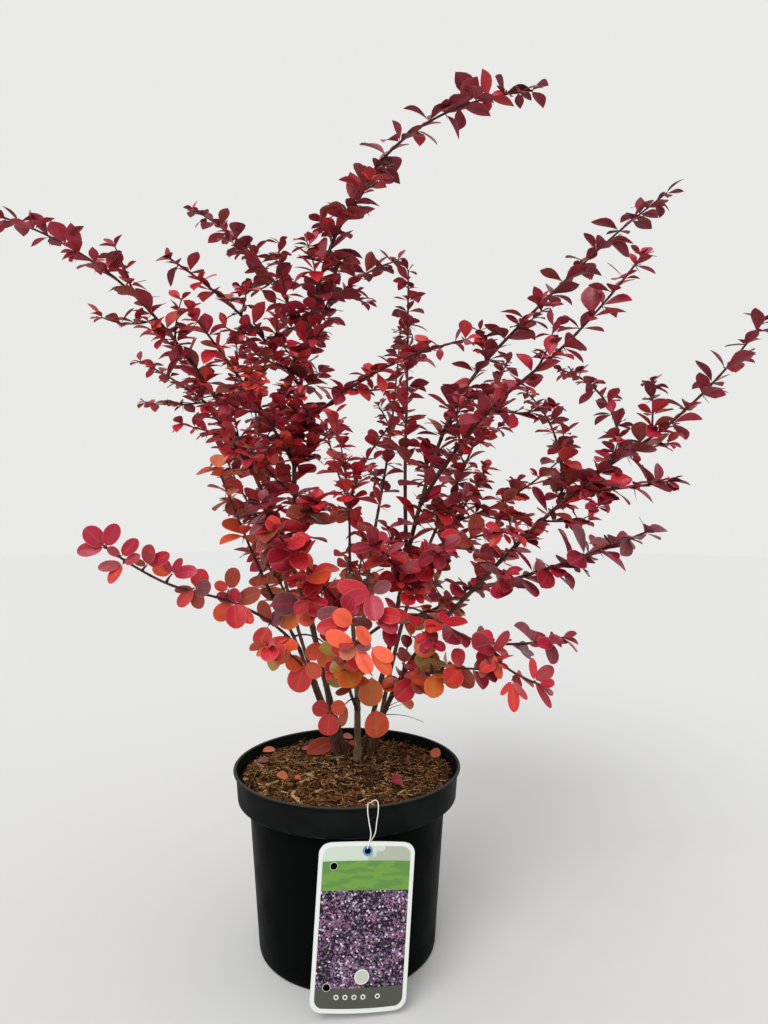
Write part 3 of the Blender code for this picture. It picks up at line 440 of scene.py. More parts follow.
SPRIGS = (
    Sprig("centre", (0.024, 0.000, 0.197), (((0.025, -0.006, 0.173), 0.94, "vermilion"),)),
    Sprig("centre", (0.021, -0.005, 0.226), (((0.019, -0.011, 0.201), 0.81, "orange"),)),
    Sprig("centre", (0.004, -0.018, 0.243), (
        ((0.001, -0.026, 0.219), 0.74, "amber"), ((-0.015, -0.016, 0.220), 0.66, "olive"),
        ((0.016, -0.026, 0.232), 0.80, "vermilion"))),
    Sprig("left", (-0.034, -0.020, 0.240), (
        ((-0.041, -0.026, 0.217), 0.84, "scarlet"), ((-0.021, -0.026, 0.230), 0.72, "vermilion"),
        ((-0.049, -0.028, 0.241), 0.80, "vermilion"))),
    Sprig("left", (-0.018, -0.020, 0.256), (
        ((-0.032, -0.026, 0.245), 0.74, "vermilion"), ((-0.014, -0.026, 0.237), 0.85, "orange"))),
    Sprig("left", (-0.015, 0.000, 0.194), (
        ((-0.029, -0.006, 0.200), 0.86, "scarlet"), ((-0.002, -0.006, 0.201), 0.80, "vermilion"),
        ((-0.017, -0.006, 0.175), 0.90, "scarlet"))),
    Sprig("centre", (-0.002, 0.005, 0.199), (((-0.005, -0.001, 0.181), 0.42, "salmon"),)),
    Sprig("low_left", (-0.052, -0.025, 0.259), (
        ((-0.059, -0.030, 0.243), 0.72, "scarlet"), ((-0.068, -0.028, 0.255), 0.60, "orange"),
        ((-0.046, -0.030, 0.247), 0.50, "amber"))),
    Sprig("low_left", (-0.060, -0.045, 0.275), (
        ((-0.067, -0.052, 0.259), 0.85, "scarlet"), ((-0.049, -0.050, 0.285), 0.78, "plum"),
        ((-0.065, -0.050, 0.295), 0.55, "russet"))),
    Sprig("low_left", (-0.079, -0.083, 0.298), (
        ((-0.091, -0.088, 0.305), 0.55, "crimson"), ((-0.077, -0.089, 0.309), 0.85, "crimson"),
        ((-0.093, -0.088, 0.287), 0.72, "vermilion"), ((-0.076, -0.093, 0.281), 0.80, "ruby"),
        ((-0.065, -0.088, 0.284), 0.46, "scarlet"), ((-0.060, -0.085, 0.307), 0.60, "russet"))),
    Sprig("low_left", (-0.083, -0.085, 0.308), (
        ((-0.077, -0.090, 0.324), 0.72, "russet"), ((-0.092, -0.090, 0.313), 0.70, "scarlet"))),
    Sprig("low_left", (-0.102, -0.110, 0.312), (
        ((-0.094, -0.113, 0.325), 0.82, "ruby"), ((-0.089, -0.118, 0.313), 0.85, "plum"),
        ((-0.112, -0.115, 0.300), 0.58, "scarlet"), ((-0.115, -0.113, 0.311), 0.42, "russet"),
        ((-0.097, -0.113, 0.298), 0.82, "russet"))),
    Sprig("low_left", (-0.114, -0.122, 0.323), (
        ((-0.126, -0.126, 0.328), 0.62, "vermilion"), ((-0.119, -0.126, 0.334), 0.45, "crimson"),
        ((-0.107, -0.124, 0.334), 0.45, "crimson"), ((-0.096, -0.127, 0.326), 0.52, "carmine"))),
    Sprig("low_left", (-0.127, -0.135, 0.330), (
        ((-0.123, -0.140, 0.344), 0.72, "rose"), ((-0.111, -0.140, 0.338), 0.50, "crimson"),
        ((-0.134, -0.140, 0.334), 0.50, "russet"))),
    Sprig("low_left", (-0.139, -0.145, 0.332), (
        ((-0.154, -0.150, 0.330), 0.48, "rose"), ((-0.147, -0.150, 0.320), 0.60, "scarlet"),
        ((-0.127, -0.150, 0.338), 0.48, "rose"))),
    Sprig("low_left", (-0.140, -0.147, 0.337), (
        ((-0.128, -0.151, 0.348), 0.55, "crimson"), ((-0.147, -0.151, 0.343), 0.60, "rose"))),
    Sprig("low_left", (-0.149, -0.150, 0.343), (
        ((-0.166, -0.154, 0.341), 0.56, "crimson"), ((-0.160, -0.155, 0.356), 0.70, "crimson"),
        ((-0.140, -0.155, 0.358), 0.58, "carmine"))),
    Sprig("left", (-0.035, -0.042, 0.292), (
        ((-0.055, -0.056, 0.293), 0.80, "plum"), ((-0.050, -0.048, 0.274), 0.78, "orange"),
        ((-0.027, -0.052, 0.276), 0.72, "vermilion"))),
    Sprig("front", (0.010, -0.118, 0.288), (
        ((-0.015, -0.124, 0.286), 0.50, "ruby"), ((-0.003, -0.126, 0.297), 0.72, "coral"))),
    Sprig("front", (0.012, -0.126, 0.274), (
        ((-0.008, -0.131, 0.284), 0.50, "coral"), ((0.002, -0.134, 0.269), 0.74, "salmon"),
        ((0.022, -0.134, 0.258), 0.52, "coral"))),
    Sprig("front", (0.022, -0.125, 0.274), (
        ((0.013, -0.131, 0.288), 0.56, "coral"), ((0.037, -0.131, 0.266), 0.54, "coral"),
        ((0.035, -0.131, 0.256), 0.44, "vermilion"))),
    Sprig("centre", (0.022, -0.086, 0.306), (
        ((-0.003, -0.091, 0.312), 0.50, "ruby"), ((0.001, -0.096, 0.301), 0.50, "carmine"),
        ((0.036, -0.090, 0.313), 0.60, "plum"), ((0.025, -0.100, 0.288), 0.66, "crimson"))),
    Sprig("centre", (0.002, -0.092, 0.293), (
        ((-0.017, -0.098, 0.291), 0.56, "plum"), ((0.008, -0.104, 0.305), 0.78, "carmine"),
        ((-0.008, -0.104, 0.281), 0.62, "ruby"))),
    Sprig("front_right", (0.026, -0.088, 0.291), (
        ((0.040, -0.096, 0.279), 0.60, "crimson"), ((0.042, -0.100, 0.290), 0.62, "ruby"))),
    Sprig("front_right_droop", (0.118, -0.126, 0.251), (
        ((0.119, -0.132, 0.231), 0.40, "scarlet"), ((0.127, -0.133, 0.240), 0.30, "rose"),
        ((0.110, -0.130, 0.242), 0.34, "scarlet"))),
    Sprig("front_right_droop", (0.132, -0.132, 0.252), (
        ((0.143, -0.136, 0.235), 0.26, "rose"), ((0.130, -0.135, 0.268), 0.34, "scarlet"),
        ((0.144, -0.135, 0.262), 0.60, "rose"))),
    Sprig("front_right_droop", (0.108, -0.108, 0.266), (
        ((0.098, -0.112, 0.250), 0.40, "russet"), ((0.112, -0.114, 0.249), 0.36, "vermilion"),
        ((0.118, -0.112, 0.282), 0.40, "rose"))),
    Sprig("low_centre", (0.062, -0.032, 0.268), (
        ((0.065, -0.042, 0.249), 0.86, "orange"), ((0.072, -0.046, 0.262), 0.80, "plum"))),
    Sprig("low_centre", (0.070, -0.030, 0.254), (((0.068, -0.036, 0.236), 0.78, "amber"),)),
    Sprig("low_centre", (0.065, -0.030, 0.240), (
        ((0.056, -0.036, 0.227), 0.74, "russet"), ((0.058, -0.036, 0.218), 0.66, "russet"))),
    Sprig("low_centre", (0.084, -0.044, 0.245), (
        ((0.087, -0.050, 0.226), 0.84, "orange"), ((0.100, -0.056, 0.229), 0.56, "russet"))),
)


# Bare twigs low on the far right cane: foot and end
DEAD_TWIGS = (
    ((0.033, 0.028, 0.189), (0.054, 0.020, 0.199)),
    ((0.033, 0.028, 0.185), (0.047, 0.021, 0.194)),
    ((0.032, 0.028, 0.182), (0.066, 0.018, 0.179)),
    ((0.038, 0.026, 0.203), (0.055, 0.018, 0.214)),
)


def unit(vectors):
    """Vectors of length one."""
    return vectors / np.linalg.norm(vectors, axis=-1, keepdims=True)


def around(heading, turn):
    """Direction square to a heading, some way round it."""
    first = unit(np.cross(heading, np.eye(3)[np.argmin(np.abs(heading))]))
    return math.cos(turn) * first + math.sin(turn) * np.cross(heading, first)


def blend(low, high, amount):
    """Value some way between two others."""
    return low + (high - low) * min(1.0, max(0.0, amount))


class Path:
    """A smooth way through some places, read by distance from its foot.

    Between neighbouring places it is a cubic, whose slope at each place is the slope of
    the line between the places on either side.
    """

    def __init__(self, places):
        places = np.array(places, float)
        chords = np.linalg.norm(np.diff(places, axis=0), axis=1)
        knots = np.concatenate(([0.0], np.cumsum(chords)))
        slopes = np.gradient(places, knots, axis=0, edge_order=min(2, len(places) - 1))
        reads = np.linspace(0.0, knots[-1], 40 * len(places))
        piece = np.clip(np.searchsorted(knots, reads, side="right") - 1, 0, len(chords) - 1)
        width = chords[piece][:, None]
        u = (reads[:, None] - knots[piece][:, None]) / width
        self.points = ((2 * u**3 - 3 * u**2 + 1) * places[piece]
                       + (u**3 - 2 * u**2 + u) * width * slopes[piece]
                       + (3 * u**2 - 2 * u**3) * places[piece + 1]
                       + (u**3 - u**2) * width * slopes[piece + 1])
        runs = np.linalg.norm(np.diff(self.points, axis=0), axis=1)
        self.reach = np.concatenate(([0.0], np.cumsum(runs)))
        self.length = self.reach[-1]

    def at(self, distance):
        """Place, or array of places, at a distance from the foot."""
        return np.stack([np.interp(distance, self.reach, axis) for axis in self.points.T], axis=-1)

    def nearest(self, place):
        """Place on the path that is nearest to another."""
        return self.points[np.argmin(np.linalg.norm(self.points - place, axis=1))]

    def heading(self, distance):
        """Direction of growth at a distance from the foot."""
        return unit(self.at(min(distance + 0.002, self.length)) - self.at(max(distance - 0.002, 0.0)))


class Shoot(NamedTuple):
    """A shoot with its path, its radii and the palettes of its leaves."""

    path: Path
    foot: float             # radius at its foot
    tip: float              # radius at its tip
    start: float = 0.0      # distance from its foot to its first leaves
    flare: bool = False     # whether its foot flares
    tints: tuple = ()       # palette at its foot and palette at its tip
    leaf: float = 1.0       # size of its leaves, as a share

    def radius(self, distance):
        """Radius at a distance from the foot.

        It falls from the foot's to the tip's as the 1.2th power of the share of the way that is left, and
        a cane's foot flares.
        """
        taper = self.tip + (self.foot - self.tip) * (1 - distance / self.path.length) ** 1.2
        if self.flare:
            taper = taper * (1 + FLARE * np.exp(-distance / FLARE_HEIGHT))
        return taper


def closed_surfaces(rings, foot, tip):
    """Corners and faces of closed surfaces, each of rings between two poles.

    Corner (n, i, j) is place j of ring i of surface n. Neighbouring rings are joined by
    quads, and the first and last ring by triangles to their poles.
    """
    count, rows, columns = rings.shape[:3]
    size = rows * columns + 2
    corners = np.concatenate((rings.reshape(count, -1, 3), foot[:, None], tip[:, None]), axis=1)
    j = np.arange(columns)
    k = (j + 1) % columns
    i = np.arange(rows - 1)[:, None] * columns
    quads = np.stack((i + j, i + k, i + columns + k, i + columns + j), axis=-1).reshape(-1, 4)
    last = (rows - 1) * columns
    triangles = np.concatenate((
        np.stack((np.full(columns, size - 2), k, j), axis=-1),
        np.stack((np.full(columns, size - 1), last + j, last + k), axis=-1)))
    shift = np.arange(count)[:, None, None] * size
    return corners.reshape(-1, 3), (quads + shift).reshape(-1, 4), (triangles + shift).reshape(-1, 3)


class Gathered:
    """Corners and faces that are gathered into one mesh, with a finish number for each face."""

    def __init__(self):
        self.count = 0
        self.corners = []
        self.quads = []
        self.triangles = []
        self.quad_finish = []
        self.triangle_finish = []
        self.marks = []

    def add(self, rings, foot, tip, finish=0, marks=None):
        """Add closed surfaces. The finish is one number, or one for each place of a ring."""
        surfaces, rows, columns = rings.shape[:3]
        corners, quads, triangles = closed_surfaces(rings, foot, tip)
        self.corners.append(corners)
        self.quads.append(quads + self.count)
        self.triangles.append(triangles + self.count)
        across = np.broadcast_to(finish, (columns,))
        self.quad_finish.append(np.tile(across, surfaces * (rows - 1)))
        self.triangle_finish.append(np.tile(across, surfaces * 2))
        if marks is not None:
            self.marks.append(marks.reshape(-1, 2))
        self.count += len(corners)

    def add_sheet(self, grid, finish, marks=None):
        """Add an open grid of places, with a finish for each of its faces."""
        rows, columns = grid.shape[:2]
        i = np.arange(rows - 1)[:, None] * columns
        j = np.arange(columns - 1)
        quads = np.stack((i + j, i + j + 1, i + columns + j + 1, i + columns + j), axis=-1)
        self.corners.append(grid.reshape(-1, 3))
        self.quads.append(quads.reshape(-1, 4) + self.count)
        self.triangles.append(np.empty((0, 3), int))
        self.quad_finish.append(np.broadcast_to(finish, (rows - 1, columns - 1)).ravel())
        if marks is not None:
            self.marks.append(marks.reshape(-1, 2))
        self.count += rows * columns

    def mesh(self, name):
        """Mesh of all that was gathered, written as whole arrays."""
        corners = np.concatenate(self.corners)
        quads = np.concatenate(self.quads)
        triangles = np.concatenate(self.triangles)
        turns = np.concatenate((quads.ravel(), triangles.ravel()))
        starts = np.concatenate((np.arange(len(quads)) * 4, len(quads) * 4 + np.arange(len(triangles)) * 3))
        mesh = bpy.data.meshes.new(name)
        mesh.vertices.add(len(corners))
        mesh.vertices.foreach_set("co", corners.astype(np.float32).ravel())
        mesh.loops.add(len(turns))
        mesh.loops.foreach_set("vertex_index", turns.astype(np.int32))
        mesh.polygons.add(len(starts))
        mesh.polygons.foreach_set("loop_start", starts.astype(np.int32))
        finish = np.concatenate(self.quad_finish + self.triangle_finish)
        mesh.polygons.foreach_set("material_index", finish.astype(np.int32))
        if self.marks:
            layer = mesh.uv_layers.new(name="surface")
            layer.uv.foreach_set("vector", np.concatenate(self.marks)[turns].astype(np.float32).ravel())
        mesh.update(calc_edges=True)
        mesh.validate()
        mesh.shade_smooth()
        return mesh


def add_piece(name, mesh, finishes, replaced=(), crease=None):
    """Object that rides on the root body, with its finishes and the nodes that it stands for."""
    for finish in finishes:
        mesh.materials.append(finish)
    if crease:
        mesh.set_sharp_from_angle(angle=math.radians(crease))
    made = bpy.data.objects.new(name, mesh)
    bpy.context.scene.collection.objects.link(made)
    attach(made, "root")
    if replaced:
        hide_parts(*replaced)
    return made


def merged(mesh):
    """The mesh with the corners of its sheets joined and its faces turned outwards."""
    shape = bmesh.new()
    shape.from_mesh(mesh)
    bmesh.ops.remove_doubles(shape, verts=shape.verts, dist=SAME_PLACE)
    bmesh.ops.dissolve_degenerate(shape, edges=shape.edges, dist=SAME_PLACE)
    bmesh.ops.recalc_face_normals(shape, faces=shape.faces)
    shape.to_mesh(mesh)
    shape.free()
    mesh.shade_smooth()
    return mesh


def full_turn(steps):
    """Angles of even steps of a full turn."""
    return np.arange(steps) * 2 * np.pi / steps


def circles(first, second, steps):
    """Circles of radius one: cos a * first direction + sin a * second, for each pair of directions."""
    turn = full_turn(steps)[:, None]
    return np.cos(turn) * first[:, None] + np.sin(turn) * second[:, None]


def tube_rings(points, radii, relief):
    """Rings of a tube along some points.

    Place (i, j) is point i + radius i * (1 + relief (i, j)) * (cos a * normal i + sin a * side i),
    where a is j / sides of a full turn and normal i and side i are square to the path. The relief has a
    row for each point and a column for each side.
    """
    ahead = unit(np.gradient(points, axis=0))
    reference = np.eye(3)[np.argmin(np.abs(points[-1] - points[0]))]
    normal = unit(np.cross(reference, ahead))
    reach = radii[:, None] * (1 + relief)
    return points[:, None] + reach[:, :, None] * circles(normal, np.cross(ahead, normal), relief.shape[1])


def add_tube(gathered, points, radii, relief, finish=0):
    """Add one tube with a low point at either end."""
    rings = tube_rings(points, radii, relief)
    tip = points[-1] + unit(points[-1] - points[-2]) * radii[-1] * 0.6
    foot = points[0] - unit(points[1] - points[0]) * radii[0] * 0.3
    gathered.add(rings[None], foot[None], tip[None], finish)


def carried_rings(points, radius, relief):
    """Rings along a path that bends sharply, which are placed as those of a tube are.

    Each ring's normal is the last one's, leant until it is square to the path.
    """
    ahead = unit(np.gradient(points, axis=0))
    normal = around(ahead[0], 0.0)
    normals = []
    for direction in ahead:
        normal = unit(normal - direction * normal.dot(direction))
        normals.append(normal)
    normals = np.array(normals)
    reach = radius * (1 + relief)
    return points[:, None] + reach[:, :, None] * circles(normals, np.cross(ahead, normals), relief.shape[1])


def turned_rings(profile, steps):
    """Rings of a profile of (radius, height) turned about the upright axis.

    Place (i, j) is (radius i * cos a, radius i * sin a, height i), where a is j / steps of a full turn.
    """
    profile = np.array(profile)
    turn = full_turn(steps)
    return np.stack((profile[:, :1] * np.cos(turn), profile[:, :1] * np.sin(turn),
                     np.broadcast_to(profile[:, 1:], (len(profile), steps))), axis=-1)


def add_node(tree, kind, *values, output="", **named):
    """An output of a new shader node: the first one in use, unless it is named.

    Values go to the inputs in use, in order. A named value goes to the input of that name or, where there
    is none, to the setting of that name. Another node's output is linked, and a colour gets its alpha.
    """
    made = tree.nodes.new("ShaderNode" + kind)
    for name, value in named.items():
        if name not in made.inputs:
            setattr(made, name, value)
    pairs = list(zip([one for one in made.inputs if one.enabled], values))
    pairs += [(made.inputs[name], value) for name, value in named.items() if name in made.inputs]
    for target, value in pairs:
        if isinstance(value, NodeSocket):
            tree.links.new(value, target)
        else:
            target.default_value = (*value, 1.0) if target.type == "RGBA" else value
    return next(one for one in made.outputs if one.enabled and output in ("", one.name))


def new_finish(name, base, **sockets):
    """Principled material with one colour and constants on the shader's own sockets.

    It comes with the function that adds nodes to its tree, and with its shader.
    """
    made = bpy.data.materials.new(name)
    made.use_nodes = True
    shader = made.node_tree.nodes["Principled BSDF"]
    shader.inputs["Base Color"].default_value = (*base, 1.0)
    for socket, value in sockets.items():
        shader.inputs[socket.replace("_", " ")].default_value = value
    return made, partial(add_node, made.node_tree), shader


def feed(shader, **outputs):
    """Link other nodes' outputs to a shader's sockets."""
    for socket, output in outputs.items():
        shader.id_data.links.new(output, shader.inputs[socket.replace("_", " ")])


def toned(first, second, amount):
    """Colour some way from one to another."""
    return [low * (1 - amount) + high * amount for low, high in zip(first, second)]


# The recipes below give lengths in metres: a noise's scale is one over the size of its features.
# Each finer layer of a noise is LAYER times as strong as the one before.
LAYER = 0.55


def pot_plastic(looks):
    """Injection moulded polypropylene: a dull black with a green tinge, fine grain, pale scuffs and a paler
    lip, with painted light on the collar and a painted highlight along its foot.
    """
    made, add, shader = new_finish("moulded polypropylene", looks.plastic, Roughness=0.48, IOR=1.49,
                                   Specular_IOR_Level=0.018)
    place = add("TexCoord", output="Object")
    height = add("SeparateXYZ", place, output="Z")
    clouds = add("TexNoise", place, 1 / 0.030, 3.0, LAYER)
    cloud = add("MapRange", clouds, 0.42, 0.75)
    # Painted light: the collar, which faces the light from above, is painted paler in soft clouds, and the
    # body below it faintly
    collar = add("MapRange", height, COLLAR_FOOT - 0.001, COLLAR_FOOT + 0.002, 0.12, 0.80)
    patchy = add("MapRange", cloud, 0.0, 1.0, 0.55, 1.0)
    dust = add("Math", collar, patchy, operation="MULTIPLY")
    collar_lit = add("Mix", dust, looks.plastic, looks.dust, data_type="RGBA")
    # Scuffs run round the pot, so their noise is stretched square to the axis
    stretched = add("Mapping", place, Scale=(0.25, 0.25, 2.2))
    scuffs = add("TexNoise", stretched, 1 / 0.003, 4.0, 0.7)
    scuff = add("MapRange", scuffs, 0.66, 0.80, 0.0, 0.22)
    scuffed = add("Mix", scuff, collar_lit, looks.worn, data_type="RGBA")
    # The lip is painted paler all round. The foot of the collar has a painted highlight along the edge of
    # its step, broken here and there
    lip = add("MapRange", height, POT_HEIGHT - 0.0012, POT_HEIGHT - 0.0002, 0.0, 0.75)
    over = add("Math", height, COLLAR_FOOT + 0.0004, operation="SUBTRACT")
    off_foot = add("Math", over, operation="ABSOLUTE")
    foot = add("MapRange", off_foot, 0.0010, 0.0002, 0.0, 1.0)
    foot_patches = add("TexNoise", place, 1 / 0.012, 3.0, LAYER)
    foot_patch = add("MapRange", foot_patches, 0.45, 0.60, 0.0, 0.45)
    foot_highlight = add("Math", foot, foot_patch, operation="MULTIPLY")
    worn = add("Math", lip, foot_highlight, operation="MAXIMUM")
    grain = add("TexNoise", place, 1 / looks.grain, 2.0, LAYER)
    feed(shader, Base_Color=add("Mix", worn, scuffed, looks.worn, data_type="RGBA"),
         Roughness=add("MapRange", cloud, 0.0, 1.0, 0.40, 0.60),
         Normal=add("Bump", Height=grain, Distance=0.00006, Strength=0.7))
    return made


def bark_finish(name, base, ridge, size):
    """Bark: fine lengthwise cracks, paler ridges and a dull surface."""
    made, add, shader = new_finish(name, base, Roughness=0.72)
    place = add("TexCoord", output="Object")
    drawn = add("Mapping", place, Scale=(1.0, 1.0, 0.16))
    cracks = add("TexNoise", drawn, 1 / size, 4.0, 0.65)
    between = add("MapRange", cracks, 0.45, 0.68)
    ridged = add("Mix", between, base, ridge, data_type="RGBA")
    patches = add("TexNoise", place, 1 / 0.012, 2.0, LAYER)
    patch = add("MapRange", patches, 0.35, 0.70, 0.0, 0.5)
    dark = [value * 0.55 for value in base]
    feed(shader, Base_Color=add("Mix", patch, ridged, dark, data_type="RGBA"),
         Normal=add("Bump", Height=cracks, Distance=0.0004))
    return made


def leaf_finish(name, tints, tint, underside=False):
    """Waxy leaf skin: pale midrib and margin, faint side veins, soft blotches, a heart of another tint.

    The underside is duller and has a grey bloom. The leaf's marks give its number and the place along it
    in X, and the place across it in Y.
    """
    base = tuple(getattr(tints, tint))
    if underside:
        base = toned(base, tints.bloom, 0.20)
    heart = tuple(getattr(tints, HEARTS[tint]))
    pale = toned(base, tints.rib, 0.50)
    dark = [value * 0.60 for value in base]
    made, add, shader = new_finish(name, base, Roughness=0.58 if underside else 0.36, IOR=1.38,
                                   Specular_IOR_Level=0.25 if underside else 0.50)
    place = add("TexCoord", output="Object")
    marks = add("TexCoord", output="UV")
    lengthwise, across = (add("SeparateXYZ", marks, output=axis) for axis in "XY")
    along = add("Math", lengthwise, operation="FRACT")
    number = add("Math", lengthwise, operation="FLOOR")
    chance = add("TexWhiteNoise", number, noise_dimensions="1D")
    off_middle = add("Math", across, 0.5, operation="SUBTRACT")
    off_rib = add("Math", off_middle, operation="ABSOLUTE")
    # The heart has a ragged edge, and shows by chance more on one leaf than on another
    clouds = add("TexNoise", place, 1 / 0.006, 2.0, LAYER)
    ragged = add("Math", clouds, 0.5, off_rib, operation="MULTIPLY_ADD")
    middle = add("MapRange", ragged, 0.22, 0.46, 1.0, 0.0)
    shown = add("Math", middle, chance, operation="MULTIPLY")
    turned = add("Mix", shown, base, heart, data_type="RGBA")
    # Dark blotches, by a second chance for each leaf
    blotches = add("TexNoise", place, 1 / 0.005, 2.0, LAYER)
    blotch = add("MapRange", blotches, 0.38, 0.70, 0.0, 0.72)
    seventh = add("Math", chance, 7.0, operation="MULTIPLY")
    second = add("Math", seventh, operation="FRACT")
    depth = add("MapRange", second, 0.0, 1.0, 0.1, 1.0)
    shade = add("Math", blotch, depth, operation="MULTIPLY")
    blade = add("Mix", shade, turned, dark, data_type="RGBA")
    # Side veins leave the midrib at a slant, seven on either side
    slant = add("Math", off_rib, -1.1, along, operation="MULTIPLY_ADD")
    phase = add("Math", slant, 44.0, operation="MULTIPLY")
    wave = add("Math", phase, operation="SINE")
    vein = add("MapRange", wave, 0.80, 1.0, 0.0, 0.14)
    veined = add("Mix", vein, blade, pale, data_type="RGBA")
    margin = add("MapRange", off_rib, 0.45, 0.49, 0.0, 0.65)
    edged = add("Mix", margin, veined, pale, data_type="RGBA")
    midrib = add("MapRange", off_rib, 0.03, 0.0, 0.0, 0.35)
    dimples = add("TexNoise", place, 1 / 0.0030, 3.0, LAYER)
    feed(shader, Base_Color=add("Mix", midrib, edged, pale, data_type="RGBA"),
         Normal=add("Bump", Height=dimples, Distance=0.0005, Strength=0.7))
    return made


DRILL_REACH = (-0.002, 0.006)


def pot_profile():
    """Profile of the pot, (radius, height): from its underside up, over the lip and down to its floor.

    Straight walls lie between the bends, and each bend is rounded by a few places. The lip is half an
    ellipse whose crown is flattened a little.
    """
    slope = (BODY_TOP_RADIUS - BASE_RADIUS) / COLLAR_FOOT
    base = [(FLOOR_RING, 0.0), (DRAIN_RING - 0.012, 0.0), (DRAIN_RING + 0.009, 0.0),
            (BASE_RADIUS - 0.0030, 0.0), (BASE_RADIUS - 0.0012, 0.0005), (BASE_RADIUS - 0.0002, 0.0018)]
    body = [(BASE_RADIUS + slope * z, z) for z in np.linspace(0.004, COLLAR_FOOT - 0.004, 12)]
    step = [(BODY_TOP_RADIUS - 0.0001, COLLAR_FOOT - 0.0018),
            (BODY_TOP_RADIUS + 0.0009, COLLAR_FOOT - 0.0006),
            (BODY_TOP_RADIUS + 0.0030, COLLAR_FOOT - 0.0001),
            (COLLAR_RADIUS - 0.0020, COLLAR_FOOT), (COLLAR_RADIUS - 0.0007, COLLAR_FOOT + 0.0004)]
    lip_foot = POT_HEIGHT - LIP_HEIGHT
    rise = lip_foot - 0.0044 - COLLAR_FOOT
    collar = [(COLLAR_RADIUS - 0.0006 + 0.0012 * u, COLLAR_FOOT + 0.0014 + rise * u)
              for u in np.linspace(0.0, 1.0, 6)]
    brim = [(COLLAR_RADIUS + 0.0010, POT_HEIGHT - 0.0032), (RIM_RADIUS - 0.0009, POT_HEIGHT - 0.0024),
            (RIM_RADIUS - 0.0002, POT_HEIGHT - 0.0019)]
    half = LIP_WIDTH / 2
    lip = [(RIM_RADIUS - half + half * math.cos(a), POT_HEIGHT - 0.0012 + 0.0012 * math.sin(a) ** 0.7)
           for a in np.linspace(0.0, math.pi, 13)]
    inner = COLLAR_RADIUS - POT_WALL
    inside = [(RIM_RADIUS - LIP_WIDTH, POT_HEIGHT - 0.0018), (inner + 0.0003, lip_foot - 0.0022),
              (inner, lip_foot - 0.004), (inner, COLLAR_FOOT + POT_WALL + 0.0032),
              (BODY_TOP_RADIUS - POT_WALL + 0.001, COLLAR_FOOT + POT_WALL + 0.0004),
              (BODY_TOP_RADIUS - POT_WALL, COLLAR_FOOT - 0.003),
              (BASE_RADIUS - POT_WALL + slope * FLOOR_THICKNESS, FLOOR_THICKNESS),
              (FLOOR_RING, FLOOR_THICKNESS)]
    return base + body + step + collar + brim + lip + inside


class BARBERRY_OT_pot(Operator):
    """Add the nursery pot"""

    bl_idname = "barberry.pot"
    bl_label = "Pot"

    def execute(self, context):
        looks = context.scene.barberry_pot
        gathered = Gathered()
        rings = turned_rings(pot_profile(), looks.steps)
        gathered.add(rings[None], np.zeros((1, 3)), UP[None] * FLOOR_THICKNESS)
        turn = full_turn(DRAIN_HOLES)
        centres = np.stack((DRAIN_RING * np.cos(turn), DRAIN_RING * np.sin(turn), turn * 0), axis=-1)
        low, high = DRILL_REACH
        hole = turned_rings(((DRAIN_RADIUS, low), (DRAIN_RADIUS, high)), 28)
        drill = Gathered()
        drill.add(centres[:, None, None] + hole, centres + UP * low, centres + UP * high)
        cutter = bpy.data.objects.new("drill", drill.mesh("drill"))
        context.scene.collection.objects.link(cutter)
        made = bpy.data.objects.new("uncut pot", gathered.mesh("uncut pot"))
        context.scene.collection.objects.link(made)
        cut = made.modifiers.new("Drain holes", "BOOLEAN")
        cut.object = cutter
        cut.solver = "EXACT"
        context.view_layer.update()
        mesh = bpy.data.meshes.new_from_object(made.evaluated_get(context.evaluated_depsgraph_get()))
        for spent in (made, cutter):
            bpy.data.objects.remove(spent, do_unlink=True)
        mesh.materials.clear()
        mesh.shade_smooth()
        add_piece("moulded_pot", mesh, [pot_plastic(looks)], ("pot",), 38)
        return {"FINISHED"}


WAVES = 26
MOUND_PLACE = (0.004, 0.040)
MOUND_HEIGHT = 0.0022
MOUND_WIDTH = 0.030


def mulch_height(x, y):
    """Height of the mulch: a low mound at the stool and a sum of sine waves in many directions."""
    dice = np.random.default_rng(SEED)
    turn = dice.uniform(0, 2 * np.pi, WAVES)
    size = dice.uniform(0.005, 0.030, WAVES)
    start = dice.uniform(0, 2 * np.pi, WAVES)
    along = x[..., None] * np.cos(turn) + y[..., None] * np.sin(turn)
    waves = (np.sin(along * 2 * np.pi / size + start) * size).sum(axis=-1) * 0.012
    off_mound = (x - MOUND_PLACE[0]) ** 2 + (y - MOUND_PLACE[1]) ** 2
    return SOIL_TOP - 0.0008 + waves + MOUND_HEIGHT * np.exp(-off_mound / MOUND_WIDTH ** 2)


def mulch_finish(name, base):
    """Damp shredded bark: dull, streaked along its fibres."""
    made, add, shader = new_finish(name, base, Roughness=0.9, Specular_IOR_Level=0.15)
    place = add("TexCoord", output="Object")
    streaks = add("TexNoise", place, 1 / 0.0016, 4.0, 0.7)
    dark = [value * 0.25 for value in base]
    pale = [min(1.0, value * 1.9) for value in base]
    low = add("MapRange", streaks, 0.40, 0.54)
    shaded = add("Mix", low, dark, base, data_type="RGBA")
    high = add("MapRange", streaks, 0.56, 0.70)
    feed(shader, Base_Color=add("Mix", high, shaded, pale, data_type="RGBA"),
         Normal=add("Bump", Height=streaks, Distance=0.0004))
    return made


def scattered(dice, count, reach):
    """Places spread evenly over a disc, with the height of the mulch there."""
    turn = dice.uniform(0, 2 * np.pi, count)
    radius = reach * np.sqrt(dice.uniform(0, 1, count))
    x, y = radius * np.cos(turn), radius * np.sin(turn)
    return np.stack((x, y, mulch_height(x, y)), axis=-1)


